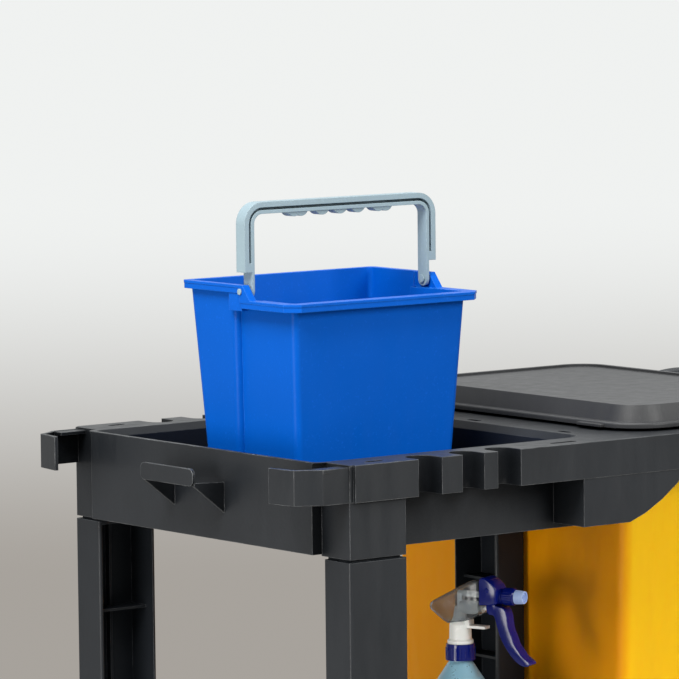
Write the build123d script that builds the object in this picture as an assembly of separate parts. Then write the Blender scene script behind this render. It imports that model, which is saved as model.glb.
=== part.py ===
from build123d import *
import math
import os

# A housekeeping cart: a moulded top deck with tool notches and mop hooks, two channel legs and a
# centre post, a middle shelf, a wheeled base, a lidded waste bag, a loose bucket and a trigger sprayer.
# Millimetres, +Z up.  The cart rolls forward along -X, its push handle is at +X, its left side is -Y.
# The origin is on the floor, under the middle of the cart's own bounding box.

# ---------------------------------------------------------------- driving dimensions
FRONT = -550.0             # foremost edge of the base platform
BACK = 550.0               # rearmost face of the push handle
SOCKET_X = -315.0          # front face of the leg sockets
HALF_WIDTH = 259.0         # outer face of the side rails, from the middle
HALF_BODY = 255.0          # outer face of sockets, shelf and base
WALL = 3.5                 # usual moulded wall
DECK_TOP = 981.0
RAIL_DEPTH = 40.0
DECK_REAR = 455.0
SOCKET_BOTTOM = 880.0
SOCKET_LENGTH = 75.0
SOCKET_INNER = 206.0       # inner face of the leg sockets, from the middle
SHOULDER_GAP = 3.0         # shadow gap between a leg's shoulder and its socket

TRAY_FRONT = SOCKET_X - 13.0
TRAY_REAR = SOCKET_X + 361.0
TRAY_FLOOR = 892.0
TRAY_BOTTOM = 882.0

SHELF_BOTTOM = 500.0
SHELF_TOP = 560.0
SHELF_FLOOR = 510.0
SHELF_REAR = 56.0

BASE_BOTTOM = 135.0
BASE_TOP = 190.0
BASE_FLOOR = 170.0
BASE_STEP_X = 60.0         # the base is narrow behind this, to clear the rear wheels
BASE_REAR = 440.0
HALF_BASE_REAR = 198.0

LEG_LENGTH = 77.0
LEG_DEPTH = 46.0
LEG_WALL = 4.0

POST_X = 59.5
POST_LENGTH = 41.0
POST_HALF = 39.0

NOTCHES = ((106.0, 32.0), (165.0, 30.0), (215.0, 32.0))   # centre behind SOCKET_X, width
NOTCH_DEPTH = 34.0

LID_FRONT = 110.0
LID_REAR = 411.0
LID_HALF = 219.0
LID_BOTTOM = 984.0
LID_TOP = 1009.0
LID_CORNER = 46.0
HINGE_X = 427.0
HINGE_Z = 991.0
HINGE_Y = 120.0

BAG_FRONT = 104.0          # outside of the bag's front wall at its mouth
BAG_MOUTH_Z = 972.0
BAG_FLOOR_Z = 174.0
PEG_Z = 958.0
PEG_XS = (135.0, 250.0, 365.0)
PEG_Y = 110.0

REAR_WHEEL_R = 100.0
REAR_WHEEL_X = 330.0
REAR_WHEEL_Y = 229.0
REAR_WHEEL_WIDTH = 40.0
AXLE_R = 8.0

CASTER_X = -462.0
CASTER_Y = 172.0
CASTER_TRAIL = 32.0
CASTER_R = 50.0
CASTER_WIDTH = 30.0

BUCKET_X = -140.5
BUCKET_LENGTH = 269.0      # rim, along X
BUCKET_WIDTH = 204.0       # rim, along Y
BUCKET_RIM_LOW = 246.5     # near rim above the bucket's underside
BUCKET_RIM_HIGH = 263.0    # far rim
BUCKET_PIVOT = 256.0        # height of the handle's pins above the bucket's underside
BUCKET_PIVOT_Y = -9.0
BUCKET_PIN_R = 2.6
BUCKET_WALL = 2.5
BUCKET_CORNER = 14.0       # chamfer of the near rim corners
BUCKET_ROUND = 8.0         # rounding of the body's upright corners
BUCKET_DRAFT = 0.062       # how far each wall leans in, per unit of height
BAIL_TOP = 353.5           # top of the carrying handle above the bucket's underside
BAIL_HALF = 133.0
BAIL_BAR = 13.0
BAIL_DEPTH = 16.0
FINGER_LUMPS = ((-64.0, 9.5), (-54.0, 9.5), (-25.0, 10.5), (0.0, 10.5), (25.0, 10.5), (54.0, 9.5),
                (64.0, 9.5))      # place along the handle, radius

SPRAY_X = -35.0
SPRAY_Y = -90.0
SPRAY_TURN = -67.0         # direction that the nozzle points, degrees from +X
BOTTLE_R = 40.0
BOTTLE_NECK_Z = 216.0

RUNNING_FIT = 0.06         # radial play of a turning part on its pin


# ---------------------------------------------------------------- small helpers
def block(x0, x1, y0, y1, z0, z1):
    """A box between two corners."""
    return Pos((x0 + x1) / 2, (y0 + y1) / 2, (z0 + z1) / 2) * Box(x1 - x0, y1 - y0, z1 - z0)


def soft_block(x0, x1, y0, y1, z0, z1, radius, taper=0.0):
    """A box with rounded upright edges; a positive taper in degrees narrows it upwards."""
    plan = Pos((x0 + x1) / 2, (y0 + y1) / 2, z0) * RectangleRounded(x1 - x0, y1 - y0, radius)
    return extrude(plan, amount=z1 - z0, taper=taper)


def rod_x(x0, x1, y, z, radius):
    """A cylinder along X."""
    return Pos((x0 + x1) / 2, y, z) * Rot(0, 90, 0) * Cylinder(radius, x1 - x0)


def rod_y(x, y0, y1, z, radius):
    """A cylinder along Y."""
    return Pos(x, (y0 + y1) / 2, z) * Rot(90, 0, 0) * Cylinder(radius, abs(y1 - y0))


def rod_z(x, y, z0, z1, radius):
    """A cylinder along Z."""
    return Pos(x, y, (z0 + z1) / 2) * Cylinder(radius, z1 - z0)


def both_sides(shape):
    """A shape and its twin on the other side of the cart."""
    return shape + mirror(shape, about=Plane.XZ)


def prism_y(points, y0, y1):
    """An (x, z) outline extruded from y0 to y1, with y0 below y1."""
    face = make_face(Polyline(*[(x, z) for x, z in points], close=True))
    return Pos(0, y1, 0) * extrude(Plane.XZ * face, amount=y1 - y0)


def union(shapes):
    """All the shapes fused into one."""
    result = shapes[0]
    for shape in shapes[1:]:
        result = result + shape
    return result


# ---------------------------------------------------------------- top deck
def notch_plan(centre_x, notch_width, side):
    """The U-shaped plan of one tool notch, open outwards on the given side."""
    radius = notch_width / 2
    straight = NOTCH_DEPTH - radius + 4.0
    middle_y = side * (HALF_WIDTH + 4.0 - straight / 2)
    end_y = side * (HALF_WIDTH - NOTCH_DEPTH + radius)
    mouth = Pos(centre_x, middle_y) * Rectangle(notch_width, straight)
    return mouth + Pos(centre_x, end_y) * Circle(radius)


def deck_plan():
    """The outline of the deck: front panel, sockets, notched rails and rounded rear corners."""
    step = SOCKET_X + 5.0
    half = [
        (TRAY_FRONT, SOCKET_INNER),
        (SOCKET_X, SOCKET_INNER + 8.0),
        (SOCKET_X, HALF_BODY),
        (step, HALF_BODY),
        (step, HALF_WIDTH),
        (DECK_REAR, HALF_WIDTH),
    ]
    points = half + [(x, -y) for x, y in reversed(half)]
    plan = make_face(Polyline(*points, close=True))
    rear = plan.vertices().filter_by(lambda v: v.X > DECK_REAR - 1.0)
    plan = fillet(rear, radius=28.0)
    for side in (-1.0, 1.0):
        for centre, notch_width in NOTCHES:
            plan = plan - notch_plan(SOCKET_X + centre, notch_width, side)
    return plan


def deck_skin():
    """The flange plate with its skirt, open below."""
    plan = deck_plan()
    outer = Pos(0, 0, DECK_TOP - RAIL_DEPTH) * extrude(plan, amount=RAIL_DEPTH)
    inside = offset(plan, amount=-WALL)
    inner = Pos(0, 0, DECK_TOP - RAIL_DEPTH) * extrude(inside, amount=RAIL_DEPTH - WALL)
    return outer - inner


def tray_parts():
    """The sunk tray: what is added to the deck and what is cut from it."""
    lip = 12.0
    outer = block(TRAY_FRONT, TRAY_REAR, -SOCKET_INNER, SOCKET_INNER, TRAY_BOTTOM, DECK_TOP)
    flare = soft_block(TRAY_FRONT, TRAY_REAR, -SOCKET_INNER, SOCKET_INNER,
                       DECK_TOP - lip, DECK_TOP, 18.0, -40.0)
    flare = flare & block(TRAY_FRONT, TRAY_REAR + 20.0, -250.0, 250.0, TRAY_BOTTOM, DECK_TOP)
    x0 = TRAY_FRONT + 4.5
    x1 = TRAY_REAR - 4.5
    half = SOCKET_INNER - WALL
    well = soft_block(x0, x1, -half, half, TRAY_FLOOR, DECK_TOP + 1.0, 16.0)
    mouth = soft_block(x0, x1, -half, half, DECK_TOP - lip + 4.0, DECK_TOP + 1.0, 16.0, -40.0)
    mouth = mouth & block(x0, x1 + 20.0, -250.0, 250.0, TRAY_BOTTOM, DECK_TOP + 1.0)
    underside = block(x0, x1, -half, half, TRAY_BOTTOM - 1.0, TRAY_FLOOR - 4.0)
    return outer + flare, well + mouth + underside


def socket_blocks():
    """The two leg sockets under the front corners, hollow for the legs' tenons."""
    outer = block(SOCKET_X, SOCKET_X + SOCKET_LENGTH, -HALF_BODY - 0.6, -SOCKET_INNER + 1.0,
                  SOCKET_BOTTOM, DECK_TOP - 1.0)
    trim = block(SOCKET_X, SOCKET_X + SOCKET_LENGTH, -HALF_BODY - 5.0, -HALF_BODY,
                 SOCKET_BOTTOM - 1.0, DECK_TOP - RAIL_DEPTH)
    cavity = block(SOCKET_X + 4.0, SOCKET_X + SOCKET_LENGTH - 4.0, -HALF_BODY + 4.0,
                   -SOCKET_INNER - 4.0, SOCKET_BOTTOM - 1.0, DECK_TOP - RAIL_DEPTH - 2.0)
    return both_sides(outer - trim - cavity)


def mop_hooks():
    """The two thin curved bands that reach forward from the rails and turn inwards."""
    x = SOCKET_X
    y = -HALF_BODY + 0.5
    path = Line((x + 4.0, y), (x - 34.0, y + 1.0))
    path += ThreePointArc((x - 34.0, y + 1.0), (x - 46.0, y + 10.0), (x - 60.0, y + 17.0))
    path += Line((x - 60.0, y + 17.0), (x - 66.0, y + 54.0))
    band = make_face(offset(path, amount=4.0, side=Side.RIGHT))
    band = Pos(0, 0, DECK_TOP - RAIL_DEPTH) * extrude(band, amount=RAIL_DEPTH - 2.0)
    web = block(x - 34.0, x + 4.0, -HALF_BODY + 1.0, -HALF_BODY + 20.0, DECK_TOP - 6.0, DECK_TOP - 2.5)
    return both_sides(band + web)


def front_pocket():
    """The small holder on the front panel: two gussets that carry an upright tab."""
    front = TRAY_FRONT - 43.0
    gusset = prism_y([(TRAY_FRONT + 1.0, 912.0), (TRAY_FRONT + 1.0, 946.0), (front + 3.0, 948.0),
                      (front + 3.0, 944.0)], -48.0, -44.5)
    tab = Plane.YZ * Pos(0, 954.0) * RectangleRounded(98.0, 19.0, 7.0)
    tab = Pos(front, 0, 0) * extrude(tab, amount=3.5)
    return gusset + mirror(gusset, about=Plane.XZ) + tab


def side_brackets():
    """The deep cheeks below the rails, beside the bag, with a sloping rear end."""
    x0 = SOCKET_X + 320.0
    z0 = SOCKET_BOTTOM + 8.0
    z1 = DECK_TOP - RAIL_DEPTH + 2.0
    outline = [(x0, z0), (x0 + 66.0, z0), (x0 + 88.0, z0 + 8.0), (x0 + 112.0, z0 + 21.0),
               (x0 + 136.0, z0 + 38.0), (x0 + 150.0, z1), (x0, z1)]
    core = [(x0 + 3.5, z0 + 3.5), (x0 + 65.5, z0 + 3.5), (x0 + 86.0, z0 + 11.5), (x0 + 109.5, z0 + 24.0),
            (x0 + 133.0, z0 + 41.0), (x0 + 144.0, z1 + 1.0), (x0 + 3.5, z1 + 1.0)]
    cheek = prism_y(outline, -HALF_WIDTH + 0.5, -220.0)
    cheek = cheek - prism_y(core, -HALF_WIDTH + 4.0, -219.0)
    front = block(x0, x0 + 3.5, -HALF_WIDTH + 0.5, -SOCKET_INNER + 1.0, z0, DECK_TOP - 1.0)
    return both_sides(cheek + front)


def collar_and_opening():
    """The upright collar round the bag opening, and the opening itself."""
    x0 = LID_FRONT + 14.0
    x1 = LID_REAR - 15.0
    half = LID_HALF - 13.0
    collar = soft_block(x0 - 3.0, x1 + 3.0, -half - 3.0, half + 3.0, DECK_TOP - WALL,
                        DECK_TOP + 10.0, 34.0)
    opening = soft_block(x0, x1, -half, half, DECK_TOP - 10.0, DECK_TOP + 12.0, 31.0)
    return collar, opening


def deck_slots():
    """Small round-ended slots through the flange."""
    spots = [(SOCKET_X + 375.0, y, 22.0, 90.0) for y in (-160.0, 0.0, 160.0)]
    for y in (-239.0, 239.0):
        spots.append((SOCKET_X + 45.0, y, 22.0, 0.0))
        spots.append((SOCKET_X + 307.0, y, 36.0, 0.0))
    cuts = [Pos(x, y, DECK_TOP - 6.0) * Rot(0, 0, turn) * extrude(SlotOverall(long, 8.0), amount=8.0)
            for x, y, long, turn in spots]
    return union(cuts)


def hinge_lugs():
    """Pairs of lugs on the deck that hold the lid's pins, bored for them."""
    lugs = []
    for y in (-HINGE_Y, HINGE_Y):
        for edge in (y - 18.0, y + 12.0):
            foot = block(HINGE_X - 6.0, HINGE_X + 6.0, edge, edge + 6.0, DECK_TOP - 1.0, HINGE_Z)
            lugs.append(foot + rod_y(HINGE_X, edge, edge + 6.0, HINGE_Z, 6.0))
    bores = [rod_y(HINGE_X, y - 20.0, y + 20.0, HINGE_Z, 3.0) for y in (-HINGE_Y, HINGE_Y)]
    return union(lugs) - union(bores)


HANDLE_Y = 222.0
HANDLE_R = 15.0
HANDLE_X = BACK - HANDLE_R
HANDLE_Z = 981.0
HANDLE_SEAT_Z = 961.0


def handle_bosses():
    """Two sockets at the rear corners that take the push handle's ends."""
    boss = rod_x(DECK_REAR - 38.0, DECK_REAR + 14.0, -HANDLE_Y, HANDLE_SEAT_Z, 20.0)
    boss = boss & block(DECK_REAR - 60.0, DECK_REAR + 40.0, -300.0, -100.0, 900.0, DECK_TOP - 1.0)
    bore = rod_x(DECK_REAR - 32.0, DECK_REAR + 20.0, -HANDLE_Y, HANDLE_SEAT_Z, HANDLE_R)
    return both_sides(boss), both_sides(bore)


def peg_positions():
    """Where each bag peg starts and ends, as pairs of points."""
    pegs = []
    for x in PEG_XS:
        for side in (-1.0, 1.0):
            pegs.append(((x, side * (HALF_WIDTH - WALL), PEG_Z), (x, side * 201.0, PEG_Z)))
    for y in (-PEG_Y, PEG_Y):
        pegs.append(((TRAY_REAR, y, PEG_Z), (BAG_FRONT + 13.5, y, PEG_Z)))
        pegs.append(((DECK_REAR - WALL, y, PEG_Z), (416.5, y, PEG_Z)))
    return pegs


def rod_between(start, end, radius):
    """A cylinder from one point to another, along X or Y."""
    if start[0] == end[0]:
        return rod_y(start[0], min(start[1], end[1]), max(start[1], end[1]), start[2], radius)
    return rod_x(min(start[0], end[0]), max(start[0], end[0]), start[1], start[2], radius)


def top_deck():
    """The whole moulded deck."""
    tray, tray_cut = tray_parts()
    collar, opening = collar_and_opening()
    bosses, bores = handle_bosses()
    deck = deck_skin() + tray + socket_blocks() + side_brackets() + collar
    deck = deck - tray_cut - opening - deck_slots()
    deck = deck + mop_hooks() + front_pocket() + hinge_lugs() + bosses - bores
    return deck


# ---------------------------------------------------------------- legs and post
def channel_leg(z0, z1, tenon):
    """One left leg: a channel open inwards, ribbed, with a tenon at each end."""
    x0 = SOCKET_X - 1.0
    x1 = x0 + LEG_LENGTH
    outer_y = -HALF_BODY - 1.0
    inner_y = outer_y + LEG_DEPTH
    body = soft_block(x0, x1, outer_y, inner_y, z0, z1, 3.0)
    body = body - block(x0 + LEG_WALL, x1 - LEG_WALL, outer_y + LEG_WALL, inner_y + 1.0,
                        z0 + LEG_WALL, z1 - LEG_WALL)
    count = int((z1 - z0) // 110)
    pitch = (z1 - z0) / (count + 1)
    ribs = [block(x0 + 1.0, x1 - 1.0, outer_y + 1.0, inner_y - 14.0, z0 + pitch * i - 1.5,
                  z0 + pitch * i + 1.5) for i in range(1, count + 1)]
    spine_x = (x0 + x1) / 2
    ribs.append(block(spine_x - 1.5, spine_x + 1.5, outer_y + 1.0, outer_y + 12.0, z0 + 1.0, z1 - 1.0))
    leg = body + union(ribs)
    for low, high in ((z0 - tenon, z0 + 1.0), (z1 - 1.0, z1 + tenon)):
        stub = block(SOCKET_X + 4.6, SOCKET_X + SOCKET_LENGTH - 4.6, -HALF_BODY + 4.6,
                     -SOCKET_INNER - 4.6, low, high)
        hollow = block(SOCKET_X + 8.6, SOCKET_X + SOCKET_LENGTH - 8.6, -HALF_BODY + 8.6,
                       -SOCKET_INNER - 8.6, low - 1.0, high + 1.0)
        leg = leg + (stub - hollow)
    return leg


def centre_post():
    """The rear upright: one channel from base to deck, open to the front."""
    z0 = BASE_FLOOR + 0.4
    z1 = DECK_TOP - WALL - 0.4
    body = soft_block(POST_X, POST_X + POST_LENGTH, -POST_HALF, POST_HALF, z0, z1, 3.0)
    hollow = block(POST_X - 1.0, POST_X + POST_LENGTH - WALL, -POST_HALF + WALL, POST_HALF - WALL,
                   z0 + WALL, z1 - WALL)
    post = body - hollow
    count = 9
    pitch = (z1 - z0) / count
    ribs = [block(POST_X + 12.0, POST_X + POST_LENGTH - 1.0, -POST_HALF + 1.0, POST_HALF - 1.0,
                  z0 + pitch * i - 1.5, z0 + pitch * i + 1.5) for i in range(1, count)]
    holes = [rod_z(POST_X + 9.0, y, z1 - 10.0, z1 + 1.0, 2.5) for y in (-25.0, 25.0)]
    return post + union(ribs) - union(holes)


# ---------------------------------------------------------------- middle shelf
def shelf_sockets(z0, z1, depth_below, depth_above):
    """Hollows for the tenons of the legs above and below a shelf's corner blocks."""
    x0 = SOCKET_X + 4.0
    x1 = SOCKET_X + SOCKET_LENGTH - 4.0
    cut = block(x0, x1, -HALF_BODY + 4.0, -SOCKET_INNER - 4.0, z1 - depth_above, z1 + 1.0)
    if depth_below:
        cut = cut + block(x0, x1, -HALF_BODY + 4.0, -SOCKET_INNER - 4.0, z0 - 1.0, z0 + depth_below)
    return both_sides(cut)


def middle_shelf():
    """A rimmed tray with corner blocks for the legs and a sleeve for the post."""
    tray = soft_block(TRAY_FRONT, SHELF_REAR, -HALF_BODY, HALF_BODY, SHELF_BOTTOM, SHELF_TOP, 10.0)
    lip = soft_block(TRAY_FRONT - 4.0, SHELF_REAR, -HALF_BODY - 3.0, HALF_BODY + 3.0,
                     SHELF_TOP - 12.0, SHELF_TOP, 12.0)
    well = soft_block(TRAY_FRONT + 5.0, SHELF_REAR - 4.0, -HALF_BODY + 5.0, HALF_BODY - 5.0,
                      SHELF_FLOOR, SHELF_TOP + 1.0, 8.0)
    underside = soft_block(TRAY_FRONT + 5.0, SHELF_REAR - 4.0, -HALF_BODY + 5.0, HALF_BODY - 5.0,
                           SHELF_BOTTOM - 1.0, SHELF_FLOOR - 4.0, 8.0)
    corner = both_sides(block(TRAY_FRONT + 2.0, SOCKET_X + SOCKET_LENGTH, -HALF_BODY + 1.0, -SOCKET_INNER,
                              SHELF_BOTTOM, SHELF_TOP))
    sleeve = block(SHELF_REAR - 2.0, POST_X + POST_LENGTH + 3.0, -POST_HALF - 4.5, POST_HALF + 4.5,
                   SHELF_BOTTOM + 6.0, SHELF_TOP - 20.0)
    sleeve_cut = block(SHELF_REAR + 2.0, POST_X + POST_LENGTH + 0.4, -POST_HALF - 0.4, POST_HALF + 0.4,
                       SHELF_BOTTOM, SHELF_TOP)
    shelf = tray + lip - well - underside + corner + sleeve - sleeve_cut
    return shelf - shelf_sockets(SHELF_BOTTOM, SHELF_TOP, 27.0, 27.0)


# ---------------------------------------------------------------- base
def axle_lug(y):
    """One lug under the base that carries the rear axle."""
    x = REAR_WHEEL_X
    lug = prism_y([(x - 34.0, BASE_FLOOR - 2.0), (x + 34.0, BASE_FLOOR - 2.0), (x + 16.0, 96.0),
                   (x - 16.0, 96.0)], y - 5.0, y + 5.0)
    return lug + rod_y(x, y - 5.0, y + 5.0, REAR_WHEEL_R, 17.0)


def base_moulding():
    """The base: a wide front platform and a narrow rear one, skirted, with a low rim."""
    wide = soft_block(FRONT, BASE_STEP_X, -HALF_BODY, HALF_BODY, BASE_BOTTOM, BASE_TOP, 26.0)
    narrow = soft_block(BASE_STEP_X - 60.0, BASE_REAR, -HALF_BASE_REAR, HALF_BASE_REAR,
                        BASE_BOTTOM, BASE_TOP, 26.0)
    wide_well = soft_block(FRONT + 7.0, BASE_STEP_X - 7.0, -HALF_BODY + 7.0, HALF_BODY - 7.0,
                           BASE_FLOOR, BASE_TOP + 1.0, 19.0)
    narrow_well = soft_block(BASE_STEP_X - 70.0, BASE_REAR - 7.0, -HALF_BASE_REAR + 7.0,
                             HALF_BASE_REAR - 7.0, BASE_FLOOR, BASE_TOP + 1.0, 19.0)
    wide_under = soft_block(FRONT + 5.0, BASE_STEP_X - 5.0, -HALF_BODY + 5.0, HALF_BODY - 5.0,
                            BASE_BOTTOM - 1.0, BASE_FLOOR - 5.0, 21.0)
    narrow_under = soft_block(BASE_STEP_X - 70.0, BASE_REAR - 5.0, -HALF_BASE_REAR + 5.0,
                              HALF_BASE_REAR - 5.0, BASE_BOTTOM - 1.0, BASE_FLOOR - 5.0, 21.0)
    base = wide + narrow - (wide_well + narrow_well) - (wide_under + narrow_under)
    ribs = [block(x - 2.0, x + 2.0, -HALF_BODY + 4.0, HALF_BODY - 4.0, BASE_BOTTOM + 6.0, BASE_FLOOR - 4.0)
            for x in (-380.0, -250.0, -120.0, 10.0)]
    ribs += [block(x - 2.0, x + 2.0, -HALF_BASE_REAR + 4.0, HALF_BASE_REAR - 4.0, BASE_BOTTOM + 6.0,
                   BASE_FLOOR - 4.0) for x in (130.0, 230.0, 410.0)]
    ribs += [block(FRONT + 4.0, BASE_REAR - 4.0, y - 2.0, y + 2.0, BASE_BOTTOM + 6.0, BASE_FLOOR - 4.0)
             for y in (-80.0, 80.0)]
    pads = [block(CASTER_X - 52.0, CASTER_X + 52.0, y - 40.0, y + 40.0, BASE_BOTTOM, BASE_FLOOR - 4.0)
            for y in (-CASTER_Y, CASTER_Y)]
    corner = both_sides(block(SOCKET_X - 12.0, SOCKET_X + SOCKET_LENGTH, -HALF_BODY + 1.0, -SOCKET_INNER,
                              BASE_BOTTOM + 10.0, BASE_TOP))
    lugs = [axle_lug(y) for y in (-165.0, -40.0, 40.0, 165.0)]
    base = base + union(ribs) + union(pads) + corner + union(lugs)
    base = base - shelf_sockets(BASE_BOTTOM, BASE_TOP, 0.0, 30.0)
    base = base - rod_y(REAR_WHEEL_X, -300.0, 300.0, REAR_WHEEL_R, AXLE_R)
    for x, y in caster_bolt_spots():
        base = base - rod_z(x, y, BASE_BOTTOM - 1.0, BASE_BOTTOM + 22.0, 4.0)
    return base


def base_platform():
    """The base below its floor's top face, with a raised stand on the front platform."""
    lower = base_moulding() & block(FRONT - 1.0, BACK, -HALF_WIDTH, HALF_WIDTH, 0.0, BASE_FLOOR)
    stand = soft_block(FRONT + 24.0, TRAY_FRONT - 14.0, -HALF_BODY + 28.0, HALF_BODY - 28.0,
                       BASE_FLOOR - 1.0, BASE_FLOOR + 1.5, 12.0)
    return lower + stand


def base_rim():
    """The rim and the leg sockets' upper part, which stand on the base's floor."""
    return base_moulding() & block(FRONT - 1.0, BACK, -HALF_WIDTH, HALF_WIDTH, BASE_FLOOR, BASE_TOP + 1.0)


# ---------------------------------------------------------------- lid
def bag_lid():
    """The lid: a tapered shell with a raised rim, a bead at its foot and two hinge knuckles."""
    taper = 18.0
    shell = soft_block(LID_FRONT, LID_REAR, -LID_HALF, LID_HALF, LID_BOTTOM, LID_TOP, LID_CORNER, taper)
    bead = soft_block(LID_FRONT - 7.0, LID_REAR + 7.0, -LID_HALF - 7.0, LID_HALF + 7.0,
                      LID_BOTTOM, LID_BOTTOM + 6.0, LID_CORNER + 7.0)
    lid = shell + fillet(bead.edges().group_by(Axis.Z)[-1], radius=2.5)
    inner = soft_block(LID_FRONT + 3.0, LID_REAR - 3.0, -LID_HALF + 3.0, LID_HALF - 3.0,
                       LID_BOTTOM - 0.5, LID_TOP - 7.0, LID_CORNER - 3.0, taper)
    panel = soft_block(LID_FRONT + 14.0, LID_REAR - 14.0, -LID_HALF + 14.0, LID_HALF - 14.0,
                       LID_TOP - 3.0, LID_TOP + 1.0, LID_CORNER - 14.0)
    lid = lid - inner - panel
    tab = block(LID_FRONT - 13.0, LID_FRONT - 4.0, -LID_HALF + 42.0, -LID_HALF + 82.0,
                LID_BOTTOM + 0.5, LID_BOTTOM + 3.5)
    lid = lid + tab
    for y in (-HINGE_Y, HINGE_Y):
        knuckle = rod_y(HINGE_X, y - 11.0, y + 11.0, HINGE_Z, 6.5)
        arm = block(LID_REAR + 3.0, HINGE_X, y - 11.0, y + 11.0, LID_BOTTOM + 0.5, LID_BOTTOM + 6.0)
        lid = lid + knuckle + arm
        lid = lid - rod_y(HINGE_X, y - 12.0, y + 12.0, HINGE_Z, 3.0 + RUNNING_FIT)
    return lid


def lid_hinge_pins():
    """The two pins that the lid turns on."""
    return [rod_y(HINGE_X, y - 18.0, y + 18.0, HINGE_Z, 3.0) for y in (-HINGE_Y, HINGE_Y)]


# ---------------------------------------------------------------- bag
def bag_section(inset, z):
    """The bag's plan at a height, drawn in by an inset."""
    top = (BAG_FRONT, 430.0, 214.0)
    low = (BAG_FRONT + 4.0, 418.0, 190.0)
    share = (BAG_MOUTH_Z - z) / (BAG_MOUTH_Z - BAG_FLOOR_Z)
    x0, x1, half = [a + (b - a) * share for a, b in zip(top, low)]
    plan = Rectangle(x1 - x0 - 2 * inset, 2 * (half - inset))
    plan = fillet(plan.vertices().group_by(Axis.X)[0], radius=18.0 - inset)
    plan = fillet(plan.vertices().group_by(Axis.X)[-1], radius=42.0 - inset)
    return Pos((x0 + x1) / 2, 0, z) * plan


def waste_bag():
    """The vinyl bag: an open-topped shell, pierced for its eyelets."""
    skin = 2.5
    outer = loft([bag_section(0.0, BAG_FLOOR_Z), bag_section(0.0, BAG_MOUTH_Z)])
    inner = loft([bag_section(skin, BAG_FLOOR_Z + skin), bag_section(skin, BAG_MOUTH_Z)])
    lift = Pos(0, 0, 0.01) * inner
    bag = outer - inner - lift
    for start, end in peg_positions():
        bag = bag - rod_between(start, end, 8.0)
    return bag


def bag_pegs():
    """The pegs that the bag hangs from, each with a flat knob at its inner end."""
    pegs = []
    for start, end in peg_positions():
        back = [e + math.copysign(4.0, s - e) if s != e else e for s, e in zip(start, end)]
        pegs.append(rod_between(start, end, 4.0) + rod_between(back, end, 6.0))
    return pegs


def bag_eyelets():
    """The rings pressed round each hole in the bag's hem."""
    rings = []
    for start, end in peg_positions():
        along_y = start[0] == end[0]
        if along_y:
            side = math.copysign(1.0, start[1])
            middle = (start[0], side * 212.3, PEG_Z)
            near = (start[0], side * 209.6, PEG_Z)
            far = (start[0], side * 215.0, PEG_Z)
            lip_near = (start[0], side * 208.6, PEG_Z)
            lip_far = (start[0], side * 216.0, PEG_Z)
        else:
            front = start[0] < 200.0
            wall = BAG_FRONT + 1.4 if front else 428.5
            middle = (wall, start[1], PEG_Z)
            near = (wall - 2.6, start[1], PEG_Z)
            far = (wall + 2.6, start[1], PEG_Z)
            lip_near = (wall - 3.6, start[1], PEG_Z)
            lip_far = (wall + 3.6, start[1], PEG_Z)
        ring = rod_between(near, far, 7.6) + rod_between(lip_near, near, 11.0)
        ring = ring + rod_between(far, lip_far, 11.0)
        bore = Pos(*middle) * Sphere(1.0)
        bore = bore + rod_between(start, end, 5.0)
        rings.append(ring - bore)
    return rings


# ---------------------------------------------------------------- push handle
def push_handle():
    """A round bar bent from one rear corner to the other."""
    start_x = DECK_REAR - 32.0
    half = [(start_x, -HANDLE_Y, HANDLE_SEAT_Z), (DECK_REAR + 24.0, -HANDLE_Y, HANDLE_SEAT_Z),
            (HANDLE_X, -HANDLE_Y + 14.0, HANDLE_Z)]
    points = half + [(x, -y, z) for x, y, z in reversed(half)]
    path = FilletPolyline(*points, radius=36.0)
    return sweep(Plane(path @ 0, z_dir=path % 0) * Circle(HANDLE_R), path=path)


def rear_axle():
    """The steel rod that both rear wheels turn on."""
    return rod_y(REAR_WHEEL_X, -254.0, 254.0, REAR_WHEEL_R, AXLE_R)


def wheel_profile(points):
    """An (radius, offset) outline turned round the Y axis."""
    face = make_face(Polyline(*points, close=True))
    return revolve(face, axis=Axis.Y)


def rear_hub(side):
    """A spoked plastic hub."""
    half = REAR_WHEEL_WIDTH / 2
    barrel = wheel_profile([(AXLE_R + RUNNING_FIT, -half), (20.0, -half), (20.0, half),
                            (AXLE_R + RUNNING_FIT, half)])
    rim = wheel_profile([(66.0, -half + 3.0), (76.0, -half + 3.0), (76.0, half - 3.0), (66.0, half - 3.0)])
    web = wheel_profile([(19.0, -3.0), (67.0, -3.0), (67.0, 3.0), (19.0, 3.0)])
    spokes = [Rot(0, 60 * i, 0) * block(19.0, 67.0, -12.0, 12.0, -3.0, 3.0) for i in range(6)]
    hub = barrel + rim + web + union(spokes)
    return Pos(REAR_WHEEL_X, side * REAR_WHEEL_Y, REAR_WHEEL_R) * hub


def rear_tyre(side):
    """A grey rubber tyre with rounded shoulders."""
    half = REAR_WHEEL_WIDTH / 2
    r = REAR_WHEEL_R
    tyre = wheel_profile([(76.0, -half + 3.0), (80.0, -half), (r - 10.0, -half), (r - 3.0, -half + 5.0),
                          (r, -half + 11.0), (r, half - 11.0), (r - 3.0, half - 5.0), (r - 10.0, half),
                          (80.0, half), (76.0, half - 3.0)])
    return Pos(REAR_WHEEL_X, side * REAR_WHEEL_Y, r) * tyre


def axle_caps():
    """Domed caps pressed on the axle's ends."""
    caps = []
    for side in (-1.0, 1.0):
        face = side * (REAR_WHEEL_Y + REAR_WHEEL_WIDTH / 2 + 0.6)
        tip = side * 256.5
        cap = rod_y(REAR_WHEEL_X, min(face, tip), max(face, tip), REAR_WHEEL_R, 15.0)
        caps.append(cap - rear_axle())
    return caps


# ---------------------------------------------------------------- casters
def caster_bolt_spots():
    """Plan positions of the eight plate bolts."""
    return [(CASTER_X + dx, side * CASTER_Y + dy) for side in (-1.0, 1.0)
            for dx in (-38.0, 38.0) for dy in (-27.0, 27.0)]


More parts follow.
